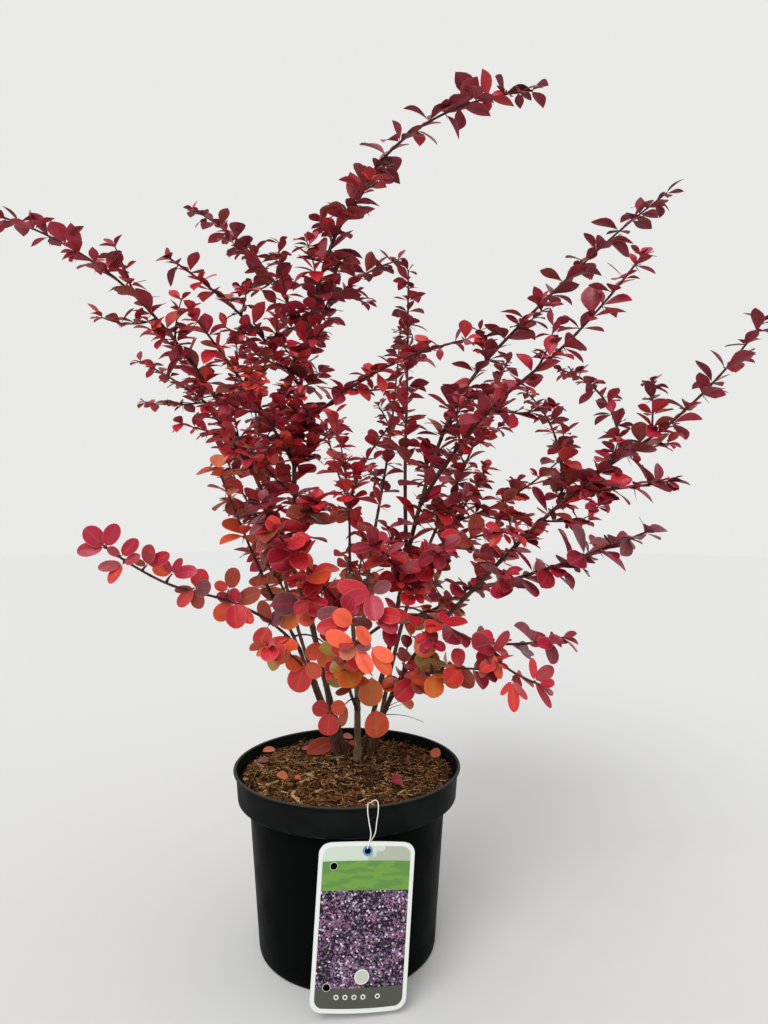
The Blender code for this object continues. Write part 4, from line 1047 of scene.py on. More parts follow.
def chip_shapes(dice, feet, ends, wide, tumble):
    """Rings and poles of chips, flat and tumbled a little: three uneven four-sided rings along a line.

    Corner k of ring i is at the middle + along i * run + corner k's share of the width and of the
    thickness, each swollen or shrunk by chance.
    """
    count = len(feet)
    thick = wide * dice.uniform(0.18, 0.5, count)
    middle, run = (feet + ends) / 2, ends - feet
    aim = unit(run)
    facing = unit(UP + dice.normal(0, tumble, (count, 3)))
    facing = unit(facing - aim * (aim * facing).sum(axis=1, keepdims=True))
    width = np.cross(facing, aim)
    along = np.array((-0.42, 0.02, 0.40))
    corners = np.array(((1, -1), (1, 1), (-1, 1), (-1, -1))) / 2
    swell = dice.uniform(0.45, 1.15, (count, 3, 4, 2))
    sizes = np.stack((wide, thick), axis=-1)[:, None, None]
    shares = corners * sizes * swell
    rings = (middle[:, None, None] + along[None, :, None, None] * run[:, None, None]
             + width[:, None, None] * shares[..., :1] + facing[:, None, None] * shares[..., 1:])
    poles = rings.mean(axis=2)
    return rings, poles[:, 0] - run * 0.10, poles[:, 2] + run * 0.10


# The large chips that lie on top: both ends, width and bark
LARGE_CHIPS = (
    (-0.0564, -0.0218, -0.0464, -0.0228, 0.0045, "red"),
    (-0.0433, -0.0205, -0.0385, -0.0215, 0.0045, "red"),
    (-0.0337, -0.0131, -0.0268, -0.0175, 0.0035, "tan"),
    (-0.0643, -0.0343, -0.0544, -0.0268, 0.0030, "tan"),
    (-0.0830, 0.0220, -0.0745, 0.0060, 0.0030, "tan"),
    (-0.0232, -0.0483, -0.0182, -0.0431, 0.0034, "tan"),
    (-0.0403, -0.0578, -0.0332, -0.0671, 0.0026, "tan"),
    (0.0118, -0.0653, 0.0176, -0.0597, 0.0022, "tan"),
    (-0.0083, -0.0540, 0.0050, -0.0578, 0.0025, "brown"),
    (-0.0400, -0.0300, -0.0270, -0.0240, 0.0024, "tan"),
    (0.0060, -0.0380, 0.0250, -0.0330, 0.0020, "brown"),
    (-0.0500, -0.0480, -0.0430, -0.0560, 0.0024, "tan"),
    (0.0420, -0.0500, 0.0480, -0.0420, 0.0020, "tan"),
)

# Shares of the dark, brown, red and tan bark
CHIP_SHARES = (0.40, 0.34, 0.14, 0.12)
FIBRE_SHARES = (0.26, 0.34, 0.12, 0.28)

# Sizes of chips and fibres: middle one, spread, least and most
CHIP_LENGTH = (0.0064, 0.50, 0.0022, 0.019)
CHIP_WIDTH = (0.0013, 0.50, 0.0004, 0.0046)
FIBRE_LENGTH = (0.0095, 0.45, 0.004, 0.024)

PEAT_CLEAR = POT_WALL + 0.0006
PEAT_FOOT = 0.0026


def sizes_by_chance(dice, sizes, count):
    """Sizes whose logarithms are spread as a bell curve, held between the least and the most."""
    middle, spread, least, most = sizes
    return np.clip(dice.lognormal(math.log(middle), spread, count), least, most)


class BARBERRY_OT_mulch(Operator):
    """Add the bark mulch"""

    bl_idname = "barberry.mulch"
    bl_label = "Mulch"

    def execute(self, context):
        looks = context.scene.barberry_mulch
        self.add_bed(looks)
        colours = {"dark": looks.dark, "brown": looks.brown, "red": looks.red, "tan": looks.tan}
        chips = {name: Gathered() for name in colours}
        dice = np.random.default_rng(SEED + 1)
        names = list(colours)
        kind = dice.choice(len(names), looks.chips, p=CHIP_SHARES)
        self.add_chips(looks, dice, kind, names, chips)
        kind = dice.choice(len(names), looks.fibres, p=FIBRE_SHARES)
        self.add_fibres(looks, dice, kind, names, chips)
        for name, gathered in chips.items():
            finish = mulch_finish(f"{name} shredded bark", colours[name])
            add_piece(f"mulch_{name}", gathered.mesh(name), [finish], crease=30)
        return {"FINISHED"}

    def add_bed(self, looks):
        """Peat below the chips: rings of the soil's solid, closed by a rough top."""
        top = COLLAR_RADIUS - PEAT_CLEAR
        slope = (BODY_TOP_RADIUS - BASE_RADIUS) / COLLAR_FOOT
        side = [(FLOOR_RING, PEAT_FOOT), (BASE_RADIUS + slope * PEAT_FOOT - PEAT_CLEAR, PEAT_FOOT),
                (BODY_TOP_RADIUS - PEAT_CLEAR, COLLAR_FOOT + PEAT_CLEAR),
                (top, COLLAR_FOOT + PEAT_CLEAR + 0.0032)]
        cover = [(radius, 0.0) for radius in np.linspace(top, 0.0015, 64)]
        rings = turned_rings(side + cover, 200)
        rings[len(side):, :, 2] = mulch_height(rings[len(side):, :, 0], rings[len(side):, :, 1])
        middle = mulch_height(np.zeros(1), np.zeros(1))
        gathered = Gathered()
        gathered.add(rings[None], UP[None] * PEAT_FOOT, UP[None] * middle)
        add_piece("mulch_bed", gathered.mesh("mulch bed"), [mulch_finish("damp peat", looks.peat)],
                  ("soil",))

    def add_chips(self, looks, dice, kind, names, chips):
        """Chips thrown at all turns over the bed, and the few large ones on top."""
        count = looks.chips
        places = scattered(dice, count, COLLAR_RADIUS - POT_WALL - 0.004)
        places[:, 2] += dice.uniform(-0.0006, 0.0016, count)
        long = sizes_by_chance(dice, CHIP_LENGTH, count)
        wide = sizes_by_chance(dice, CHIP_WIDTH, count)
        turn = dice.uniform(0, 2 * np.pi, count)
        lift = dice.normal(0.0, 0.30, count)
        aim = np.stack((np.cos(turn) * np.cos(lift), np.sin(turn) * np.cos(lift), np.sin(lift)), axis=-1)
        half = aim * long[:, None] / 2
        ends = np.stack((places - half, places + half))
        keep = np.linalg.norm(ends[:, :, :2], axis=2).max(axis=0) < COLLAR_RADIUS - 0.0035
        # Tan chips are rarer towards the right, so the mulch is paler at the left than at the right
        damp = places[:, 0] > dice.uniform(-0.08, 0.06, count)
        kind = np.where(damp & (kind == names.index("tan")), names.index("red"), kind)
        for index, name in enumerate(names):
            mine = keep & (kind == index)
            chips[name].add(*chip_shapes(dice, ends[0, mine], ends[1, mine], wide[mine], 0.45))
        for x, y, end_x, end_y, width, name in LARGE_CHIPS:
            way = np.array(((x, y), (end_x, end_y)))
            way = np.column_stack((way, mulch_height(way[:, 0], way[:, 1]) + 0.0022))
            chips[name].add(*chip_shapes(dice, way[:1], way[1:], np.array([width]), 0.15))

    def add_fibres(self, looks, dice, kind, names, chips):
        """Fibres: thin bent threads, each a triangle carried along an arc of five places."""
        count = looks.fibres
        places = scattered(dice, count, COLLAR_RADIUS - POT_WALL - 0.006)
        long = sizes_by_chance(dice, FIBRE_LENGTH, count)
        thin = dice.uniform(0.00012, 0.00040, count)
        turn = dice.uniform(0, 2 * np.pi, count)
        bend = dice.normal(0, 0.9, count)
        s = np.linspace(-0.5, 0.5, 5)
        way = turn[:, None] + bend[:, None] * s
        step = np.stack((np.cos(way), np.sin(way), dice.normal(0, 0.15, (count, 5))), axis=-1)
        centre = np.cumsum(step, axis=1) * (long[:, None, None] / 5)
        centre = centre - centre.mean(axis=1, keepdims=True) + places[:, None]
        centre = centre + UP * dice.uniform(0.0002, 0.0022, (count, 1, 1))
        side = unit(np.cross(step, UP))
        ring = full_turn(3)[:, None]
        section = np.cos(ring) * side[:, :, None] + np.sin(ring) * UP
        rings = (centre[:, :, None] + thin[:, None, None, None] * section)[:, :, ::-1]
        keep = np.linalg.norm(centre[:, :, :2], axis=2).max(axis=1) < COLLAR_RADIUS - 0.0030
        for index, name in enumerate(names):
            mine = keep & (kind == index)
            chips[name].add(rings[mine], centre[mine, 0] - step[mine, 0] * 0.0002,
                            centre[mine, -1] + step[mine, -1] * 0.0002)


class Leaf(NamedTuple):
    """One leaf."""

    foot: np.ndarray
    aim: np.ndarray     # direction from its foot to its tip
    face: np.ndarray    # direction that its upper side faces
    length: float
    width: float        # as a share of its length
    wedge: float        # slenderness towards its foot
    point: float        # slenderness towards its tip
    fold: float
    curl: float
    twist: float        # turn from its foot to its tip, in radians
    tint: str


# Rows are shares of a leaf's length. The places of a ring go round it: share of the half width, upper or
# lower side, and whether the face that starts there is the underside.
LEAF_ROWS = np.array((0.09, 0.20, 0.34, 0.50, 0.66, 0.80, 0.91, 0.975))
LEAF_COLUMNS = np.array((1.0, 0.5, 0.0, -0.5, -1.0, -0.5, 0.0, 0.5))
LEAF_SIDES = np.array((0.0, 1.0, 1.0, 1.0, 0.0, -1.0, -1.0, -1.0))
LEAF_UNDERSIDE = np.array((0, 0, 0, 0, 1, 1, 1, 1))
STALK = 0.10
STALK_WIDTH = 0.05
MOST_NUMBERS = 512


def leaf_rings(leaves, thickness):
    """Rings, feet, tips and marks of leaves.

    The marks are (leaf number + share of the length, share of the width). The numbers start again after
    the last one, because a large number would leave few digits for the share.

    At a share u of its length a leaf is half as wide as its width times
    q ** wedge * (1 - q ** 2.3) ** point over that curve's highest value, where q runs from 0
    at the end of the stalk to 1 at the tip. Its halves rise from the midrib by the fold, it bends
    down by the curl times u squared and is shorter for it, and it turns by the twist times u.
    """
    values = {name: np.array([getattr(leaf, name) for leaf in leaves]) for name in Leaf._fields[:-1]}
    u = LEAF_ROWS[None, :]
    q = np.clip((u - STALK) / (1 - STALK), 0.0, 1.0)
    fine = np.linspace(0.0, 1.0, 60)[None, :]
    wedge = values["wedge"][:, None]
    point = values["point"][:, None]
    highest = (fine ** wedge * (1 - fine ** 2.3) ** point).max(axis=1, keepdims=True)
    outline = q ** wedge * (1 - q ** 2.3) ** point / highest
    half = np.maximum(outline, STALK_WIDTH) * values["width"][:, None] / 2
    size = values["length"][:, None]
    curl = values["curl"][:, None]
    along = size * u * (1 - 0.3 * (curl * u) ** 2)
    drop = -size * curl * u ** 2
    flat = (size * half)[:, :, None] * LEAF_COLUMNS
    lift = np.abs(flat) * values["fold"][:, None, None] + LEAF_SIDES * thickness / 2
    turn = (values["twist"][:, None] * u)[:, :, None]
    across = flat * np.cos(turn) - lift * np.sin(turn)
    rise = flat * np.sin(turn) + lift * np.cos(turn)
    aim, face = values["aim"], values["face"]
    width = np.cross(face, aim)
    rings = (values["foot"][:, None, None] + along[:, :, None, None] * aim[:, None, None]
             + across[..., None] * width[:, None, None]
             + (rise + drop[:, :, None])[..., None] * face[:, None, None])
    end_drop = -values["length"] * values["curl"]
    end_along = values["length"] * (1 - 0.3 * values["curl"] ** 2)
    tips = values["foot"] + end_along[:, None] * aim + end_drop[:, None] * face
    number = np.arange(len(leaves))[:, None] % MOST_NUMBERS
    rows = np.repeat(LEAF_ROWS, len(LEAF_COLUMNS))
    sides = np.tile(0.5 + LEAF_COLUMNS / 2, len(LEAF_ROWS))
    reach = number + np.concatenate((rows, (0.01, 0.99)))
    marks = np.stack(np.broadcast_arrays(reach, np.concatenate((sides, (0.5, 0.5)))), axis=-1)
    return rings, values["foot"], tips, marks


# Rules of growth. Radii are those at the foot and at the tip, and angles are in degrees.
SPRIG_RADII = (0.0009, 0.0005)
DEAD_RADII = (0.0004, 0.0002)
TWIG_RADII = (0.0010, 0.0005)
TWIG_REACH = 0.046
TWIG_LEAN = (42, 60)
LEAF_LEAN = (38, 74)
LOW_TUFTS = 0.24
TUFT_RISE = 0.26
THORN_SHARE = 0.85
MAIN_TINT_SHARE = 0.62


class Plant:
    """Shoots, leaves and thorns, grown by a seeded rule.

    Each limb has dice of its own, so a change to one limb leaves the others as they are.
    """

    def __init__(self, leaf_looks, thorn_length):
        self.looks = leaf_looks
        self.thorn_length = thorn_length
        self.limbs = {}
        self.twigs = []
        self.leaves = []
        self.thorns = []
        for limb in LIMBS:
            if limb.parent:
                foot = self.limbs[limb.parent].path.nearest(limb.way[0])
                path = Path([foot, *limb.way[1:]])
            else:
                path = Path([(*STOOL[limb.name], SOIL_TOP - 0.002), *limb.way])
            start = max(limb.bare * path.length, 0.006)
            shoot = Shoot(path, limb.foot, TIP_RADIUS, start, not limb.parent, limb.tints, limb.leaf)
            self.limbs[limb.name] = shoot
        for limb in LIMBS:
            self.dice = random.Random(f"{limb.name} {SEED}")
            self.dress(self.limbs[limb.name])
            self.branch(self.limbs[limb.name], limb.twigs)
        self.dice = random.Random(SEED)
        for sprig in SPRIGS:
            self.add_sprig(sprig)
        for foot, end in np.array(DEAD_TWIGS):
            foot = self.limbs["far_right"].path.nearest(foot)
            self.twigs.append(Shoot(self.bent_path(foot, end, 0.08), *DEAD_RADII))

    def bent_path(self, foot, end, bend):
        """Path between two places that is bent up by a share of its length."""
        return Path([foot, (foot + end) / 2 + UP * np.linalg.norm(end - foot) * bend, end])

    def add_sprig(self, sprig):
        """A short twig from a limb to a given place, and the leaves at its end, which face the front."""
        end = np.array(sprig.end)
        foot = self.limbs[sprig.limb].path.nearest(end)
        self.twigs.append(Shoot(self.bent_path(foot, end, 0.12), *SPRIG_RADII))
        for tip, width, tint in sprig.leaves:
            aim = unit(np.array(tip) - end)
            hint = np.array((self.dice.gauss(0.0, 0.18), -0.93, 0.25))
            self.leaves.append(Leaf(
                end, aim, unit(hint - aim * hint.dot(aim)), np.linalg.norm(tip - end), width,
                wedge=0.42,
                point=0.55,
                fold=self.dice.uniform(0.05, 0.25),
                curl=0.08,
                twist=self.dice.uniform(-0.15, 0.15),
                tint=tint))

    def branch(self, shoot, count):
        """Side twigs of a limb: in turn round it, shorter and rarer towards its tip."""
        leafy = shoot.path.length - shoot.start
        for index in range(count):
            place = (index + 0.35 + 0.3 * self.dice.random()) / (count + 0.5) * 0.66
            distance = shoot.start + leafy * place
            heading = shoot.path.heading(distance)
            side = around(heading, index * GOLDEN_TURN + self.dice.uniform(0.0, 1.0))
            lean = math.radians(self.dice.uniform(*TWIG_LEAN))
            aim = heading * math.cos(lean) + side * math.sin(lean)
            reach = TWIG_REACH * self.dice.uniform(0.55, 1.2) * blend(1.15, 0.50, place)
            foot = shoot.path.at(distance)
            bend = around(aim, self.dice.uniform(0, 2 * math.pi)) * reach * 0.06
            path = Path([foot, foot + aim * reach / 2 + bend, foot + aim * reach + UP * 0.12 * reach])
            if path.points[:, 2].min() < SOIL_TOP + 0.02:
                continue
            tints = tuple(shoot.tints[int(self.dice.random() < place * 1.2)] for _ in range(2))
            twig = Shoot(path, *TWIG_RADII, start=0.005, tints=tints, leaf=shoot.leaf * 0.9)
            self.twigs.append(twig)
            self.dress(twig)

    def dress(self, shoot):
        """Tufts of leaves and thorns along a shoot, in turn round it, closer towards its tip."""
        whole = shoot.path.length
        if shoot.start >= whole:
            return
        looks = self.looks
        distance = shoot.start + self.dice.uniform(0.001, 0.005)
        turn = self.dice.uniform(0.0, 2 * math.pi)
        while distance < whole - 0.004:
            heading = shoot.path.heading(distance)
            side = around(heading, turn)
            radius = shoot.radius(distance)
            root = shoot.path.at(distance) + side * radius * 0.7
            left = whole - distance
            tip = blend(looks.tip_share, 1.0, left / 0.055)
            place = (distance - shoot.start) / (whole - shoot.start)
            spur = unit(heading * 0.45 + side * 0.8 + UP * 0.35)
            self.tuft(root, spur, heading, shoot.leaf * tip, place, shoot.tints)
            down = side * 0.75 - UP * 0.35 + around(heading, turn + 2.0) * self.dice.uniform(-0.5, 0.5)
            if self.dice.random() < THORN_SHARE:
                size = self.thorn_length * self.dice.uniform(0.7, 1.15) * min(1.0, 0.5 + tip / 2)
                self.thorns.append((root - side * radius * 0.5, unit(down), size))
            wide = blend(1.30, 1.0, (root[2] - LOW_TUFTS) / 0.12)
            spacing = blend(looks.tip_spacing, looks.spacing, left / 0.08)
            distance += wide * spacing * self.dice.uniform(0.8, 1.25)
            turn += GOLDEN_TURN + self.dice.uniform(-0.3, 0.3)
        heading = shoot.path.heading(whole)
        root = shoot.path.at(whole - 0.001)
        self.tuft(root, heading, heading, shoot.leaf * looks.tip_share, 1.0, shoot.tints)

    def tuft(self, root, axis, heading, scale, place, tints):
        """Leaves in turn round a short spur, which face up and outwards more than their spur does.

        Low tufts have fewer leaves, which are wider, blunter and hang with their faces outwards. Higher
        up they are more slender and stand with their faces up.
        """
        height = (root[2] - LOW_TUFTS) / TUFT_RISE
        low = 1.0 - min(1.0, max(0.0, height))
        size = blend(self.looks.low_length, self.looks.high_length, height) * scale
        count = self.dice.choice((3, 4, 4, 5) if height > 0.3 else (2, 3, 3, 4))
        palette = PALETTES[tints[int(self.dice.random() < place ** 1.3)]]
        main = self.dice.choice(palette)
        first = self.dice.uniform(0.0, 2 * math.pi)
        outward = unit(np.array((root[0], root[1] - MOUND_PLACE[1], 0.02)))
        for leaf in range(count):
            across = around(axis, first + 2 * math.pi * (leaf + self.dice.uniform(-0.18, 0.18)) / count)
            lean = math.radians(self.dice.uniform(*LEAF_LEAN))
            aim = axis * math.cos(lean) + across * math.sin(lean)
            if self.dice.random() < 0.7:
                aim = aim * (1.0, 1.0, 0.45)
            aim = unit(aim + UP * blend(-0.34, 0.12, height + 0.25) + outward * 0.12)
            hint = (UP * 0.95 + heading * 0.20 + outward * blend(0.80, 0.05, height + 0.1)
                    + np.array([self.dice.gauss(0.0, 0.24) for _ in range(3)]))
            reach = size * (self.dice.uniform(0.84, 1.12) if leaf < 2 else self.dice.uniform(0.52, 0.92))
            if (root + aim * reach)[2] < SOIL_TOP + 0.006:
                continue
            self.leaves.append(Leaf(
                root - axis * 0.0004, aim, unit(hint - aim * hint.dot(aim)), reach,
                width=blend(0.60, 0.84, low) * self.dice.uniform(0.86, 1.12),
                wedge=blend(0.92, 0.50, low),
                point=blend(1.15, 0.55, low) * self.dice.uniform(0.85, 1.1),
                fold=self.dice.uniform(0.08, 0.42),
                curl=self.dice.uniform(-0.05, 0.30) + 0.10 * (1.0 - low),
                twist=self.dice.uniform(-0.35, 0.35),
                tint=main if self.dice.random() < MAIN_TINT_SHARE else self.dice.choice(palette)))


def grown(context):
    """The plant by the scene's settings."""
    scene = context.scene
    return Plant(scene.barberry_leaf, scene.barberry_wood.thorn_length)


CANE_SIDES = 12
TWIG_SIDES = 7
OLD_WOOD = 0.55


def cane_relief(path, distances, sides, depth, dice):
    """Relief of a cane, as a share of its radius: ridges that wander round it, and swollen nodes.

    The ridges are sin (3 a + w) + 0.7 sin (5 a - 1.7 w), where the shift w changes slowly along the cane.
    Each node is a bell curve 20% high, and the nodes are 19 mm apart.
    """
    turn = full_turn(sides)
    wander = dice.uniform(0, 6.28) + 2.0 * np.sin(distances / 0.031 + dice.uniform(0, 6.28))
    wander = wander[:, None]
    ridges = np.sin(3 * turn + wander) + 0.7 * np.sin(5 * turn - 1.7 * wander)
    nodes = np.arange(0.012, path.length, 0.019)
    nodes = nodes + dice.uniform(-0.003, 0.003, len(nodes))
    swell = 0.20 * np.exp(-((distances[:, None] - nodes) / 0.0013) ** 2).sum(axis=1)
    return depth * ridges + swell[:, None]


class BARBERRY_OT_canes(Operator):
    """Add the canes, boughs and twigs with their bark"""

    bl_idname = "barberry.canes"
    bl_label = "Canes and twigs"

    def execute(self, context):
        looks = context.scene.barberry_wood
        plant = grown(context)
        dice = np.random.default_rng(SEED + 2)
        finishes = [bark_finish("young red brown bark", looks.young, looks.young_ridge, 0.0009),
                    bark_finish("brown cane bark", looks.brown, looks.brown_ridge, 0.0011),
                    bark_finish("grey cane bark", looks.grey, looks.grey_ridge, 0.0013)]
        self.add_canes(looks, plant, dice, finishes)
        self.add_twigs(looks, plant, dice, finishes[:1])
        self.add_thorns(looks, plant)
        return {"FINISHED"}

    def add_canes(self, looks, plant, dice, finishes):
        """Canes and boughs. The lower part of a cane has old bark, and the middle cane's is grey."""
        canes = Gathered()
        for limb in LIMBS:
            shoot = plant.limbs[limb.name]
            whole = shoot.path.length
            middle = limb.name == "centre"
            distances = np.linspace(0.0, whole, max(8, round(whole / 0.0022)))
            points = shoot.path.at(distances)
            girth = looks.middle_girth if middle else looks.high_girth if limb.parent else looks.girth
            high_girth = looks.high_girth * (0.5 if middle else 1.0)
            radii = shoot.radius(distances) * np.interp(distances, (0.0, whole), (girth, high_girth))
            if limb.parent:
                radii = radii * (1 + 0.5 * np.exp(-distances / 0.003))
            bark = cane_relief(shoot.path, distances, CANE_SIDES, looks.relief, dice)
            split = 0 if limb.parent else round(len(points) * OLD_WOOD)
            if split:
                old = slice(split + 1)
                add_tube(canes, points[old], radii[old], bark[old], 2 if middle else 1)
            add_tube(canes, points[split:], radii[split:], bark[split:])
        wood = [name for name in frame["nodes"] if name.startswith(("stem_", "bough_"))]
        add_piece("canes", canes.mesh("canes"), finishes, wood)

    def add_twigs(self, looks, plant, dice, finishes):
        """Twigs, each with a swollen foot."""
        twigs = Gathered()
        for twig in plant.twigs:
            whole = twig.path.length
            distances = np.linspace(0.0, whole, max(5, round(whole / 0.004)))
            radii = twig.radius(distances) * (1 + 0.6 * np.exp(-distances / 0.002))
            bark = cane_relief(twig.path, distances, TWIG_SIDES, looks.relief, dice) * 0.5
            add_tube(twigs, twig.path.at(distances), radii, bark)
        foliage = [name for name in frame["nodes"] if name.startswith("foliage_")]
        add_piece("twigs", twigs.mesh("twigs"), finishes, foliage)

    def add_thorns(self, looks, plant):
        """Thorns: slender five-sided cones of two rings and a tip."""
        feet, aims, sizes = (np.array(values) for values in zip(*plant.thorns))
        reach = aims * sizes[:, None]
        first = unit(np.cross(aims, np.array((0.31, 0.52, 0.79))))
        circle = circles(first, np.cross(aims, first), 5)
        rings = np.stack([(feet + reach * along)[:, None] + circle * radius
                          for along, radius in ((0.0, 0.00040), (0.5, 0.00027))], axis=1)
        thorns = Gathered()
        thorns.add(rings, feet - aims * 0.0003, feet + reach)
        finish = new_finish("dry thorn", looks.thorn, Roughness=0.6)[0]
        add_piece("thorns", thorns.mesh("thorns"), [finish])


class BARBERRY_OT_leaves(Operator):
    """Add the leaves, a piece for each tint"""

    bl_idname = "barberry.leaves"
    bl_label = "Leaves"

    def execute(self, context):
        tints = context.scene.barberry_tints
        plant = grown(context)
        for tint in sorted({leaf.tint for leaf in plant.leaves}):
            mine = [leaf for leaf in plant.leaves if leaf.tint == tint]
            rings, feet, tips, marks = leaf_rings(mine, context.scene.barberry_leaf.thickness)
            gathered = Gathered()
            gathered.add(rings, feet, tips, LEAF_UNDERSIDE, marks)
            finishes = [leaf_finish(f"{tint} leaf", tints, tint),
                        leaf_finish(f"{tint} leaf underside", tints, tint, underside=True)]
            add_piece(f"leaves_{tint}", gathered.mesh(tint), finishes, crease=75)
        return {"FINISHED"}


# Leaves on the mulch: foot, tip, width as a share, lean towards the front, tint
FALLEN = (
    ((-0.012, 0.050), (-0.037, 0.029), 0.52, 1.1, "russet"),
    ((-0.013, 0.043), (-0.026, 0.034), 0.62, 1.7, "rose"),
    ((-0.034, 0.053), (-0.044, 0.047), 0.60, 0.3, "rose"),
    ((-0.068, 0.014), (-0.082, 0.020), 0.62, 0.3, "maroon"),
    ((-0.079, 0.036), (-0.069, 0.049), 0.46, 0.6, "salmon"),
    ((0.036, -0.036), (0.046, -0.030), 0.95, 0.6, "burgundy"),
    ((0.072, 0.035), (0.081, 0.028), 0.85, 1.0, "salmon"),
    ((-0.010, 0.078), (0.001, 0.085), 0.62, 0.5, "salmon"),
    ((-0.002, 0.050), (0.007, 0.060), 0.60, 0.6, "carmine"),
    ((-0.058, -0.024), (-0.048, -0.020), 0.80, 0.5, "salmon"),
    ((-0.043, -0.023), (-0.037, -0.020), 0.90, 0.4, "orange"),
)


class BARBERRY_OT_fallen_leaves(Operator):
    """Add the leaves that lie on the mulch"""

    bl_idname = "barberry.fallen_leaves"
    bl_label = "Fallen leaves"

    def execute(self, context):
        tints = context.scene.barberry_tints
        finishes = []
        gathered = Gathered()
        for index, name in enumerate(sorted({row[-1] for row in FALLEN})):
            leaves = [self.leaf(*row) for row in FALLEN if row[-1] == name]
            rings, feet, tips, marks = leaf_rings(leaves, context.scene.barberry_leaf.thickness)
            gathered.add(rings, feet, tips, index, marks)
            finishes.append(leaf_finish(f"fallen {name} leaf", tints, name))
        add_piece("fallen_leaves", gathered.mesh("fallen leaves"), finishes, crease=75)
        return {"FINISHED"}

    def leaf(self, foot, tip, width, lean, tint):
        """One leaf, which rests on the mulch at both ends and leans on a chip towards the front."""
        way = np.array((foot, tip))
        half = np.linalg.norm(way[1] - way[0]) * width / 2
        rise = 0.0030 + half * lean / math.hypot(1.0, lean) * np.array((1.0, 0.6))
        ends = np.column_stack((way, mulch_height(way[:, 0], way[:, 1]) + rise))
        run = ends[1] - ends[0]
        aim = unit(run)
        face = np.array((0.0, -lean, 1.0))
        return Leaf(ends[0], aim, unit(face - aim * face.dot(aim)), np.linalg.norm(run), width,
                    wedge=0.55, point=0.70, fold=0.20, curl=0.08, twist=0.15, tint=tint)


def card_frame():
    """Rows that turn a place on the card, (across, up, out), into the row frame.

    The card is turned about its upright middle line, with its right side farther back.
    """
    up = unit(CARD_TOP - CARD_FOOT)
    square = unit(np.cross(up, (0.0, -1.0, 0.0)))
    across = math.cos(CARD_TURN) * square - math.sin(CARD_TURN) * np.cross(square, up)
    return np.stack((across, up, np.cross(across, up)))


def on_card(x, y, z):
    """Places on the card, (across, up, out).

    With the square of the share of its half width it bows back, and its ends arch.
    """
    side = (x / (CARD_WIDTH / 2)) ** 2
    arched = y + CARD_ARCH * (-2 * y / CARD_HEIGHT - 1) * side
    local = np.stack(np.broadcast_arrays(x, arched, z - CARD_BOW * side), axis=-1)
    return CARD_TOP + local @ card_frame()


def card_half_width(drop, inset):
    """Half the width of the card, less an inset, at a distance below its top."""
    radius = CARD_CORNER - inset * 0.6
    end = np.minimum(drop - inset, CARD_HEIGHT - inset - drop)
    corner = np.clip(radius - end, 0.0, radius)
    return CARD_WIDTH / 2 - inset - radius + np.sqrt(np.maximum(radius ** 2 - corner ** 2, 0.0))


# Printed and punched details of the card: distance across from its middle, and down from its top
PRINT_DEPTH = 0.0003
EYELET_RING = 0.0036
HOLES = ((-0.0238, 0.0170), (-0.0238, 0.1037))
BLANK_DISC = (0.0012, 0.0963)
DOTS = (-0.0164, -0.0100, -0.0035, 0.0030, 0.0135)
DOT_DROP = 0.1105
PINHOLE = 0.0001


def add_disc(gathered, place, radii, lift, finish, sides=28):
    """Flat ring on the card round a place, (across, drop): closed and mostly sunk in it.

    Its section is a rectangle, turned about the place.
    """
    x, drop = place
    inner, outer = radii
    turn = full_turn(sides)
    lift = CARD_THICKNESS / 2 + lift
    low = lift - PRINT_DEPTH
    profile = ((inner, low), (outer, low), (outer, lift), (inner, lift))
    rings = np.stack([on_card(x + radius * np.cos(turn), -drop + radius * np.sin(turn), z)
                      for radius, z in profile])
    poles = on_card(np.array([x, x]), np.array([-drop, -drop]), np.array([low, lift]))
    gathered.add(rings[None], poles[:1], poles[1:], finish)


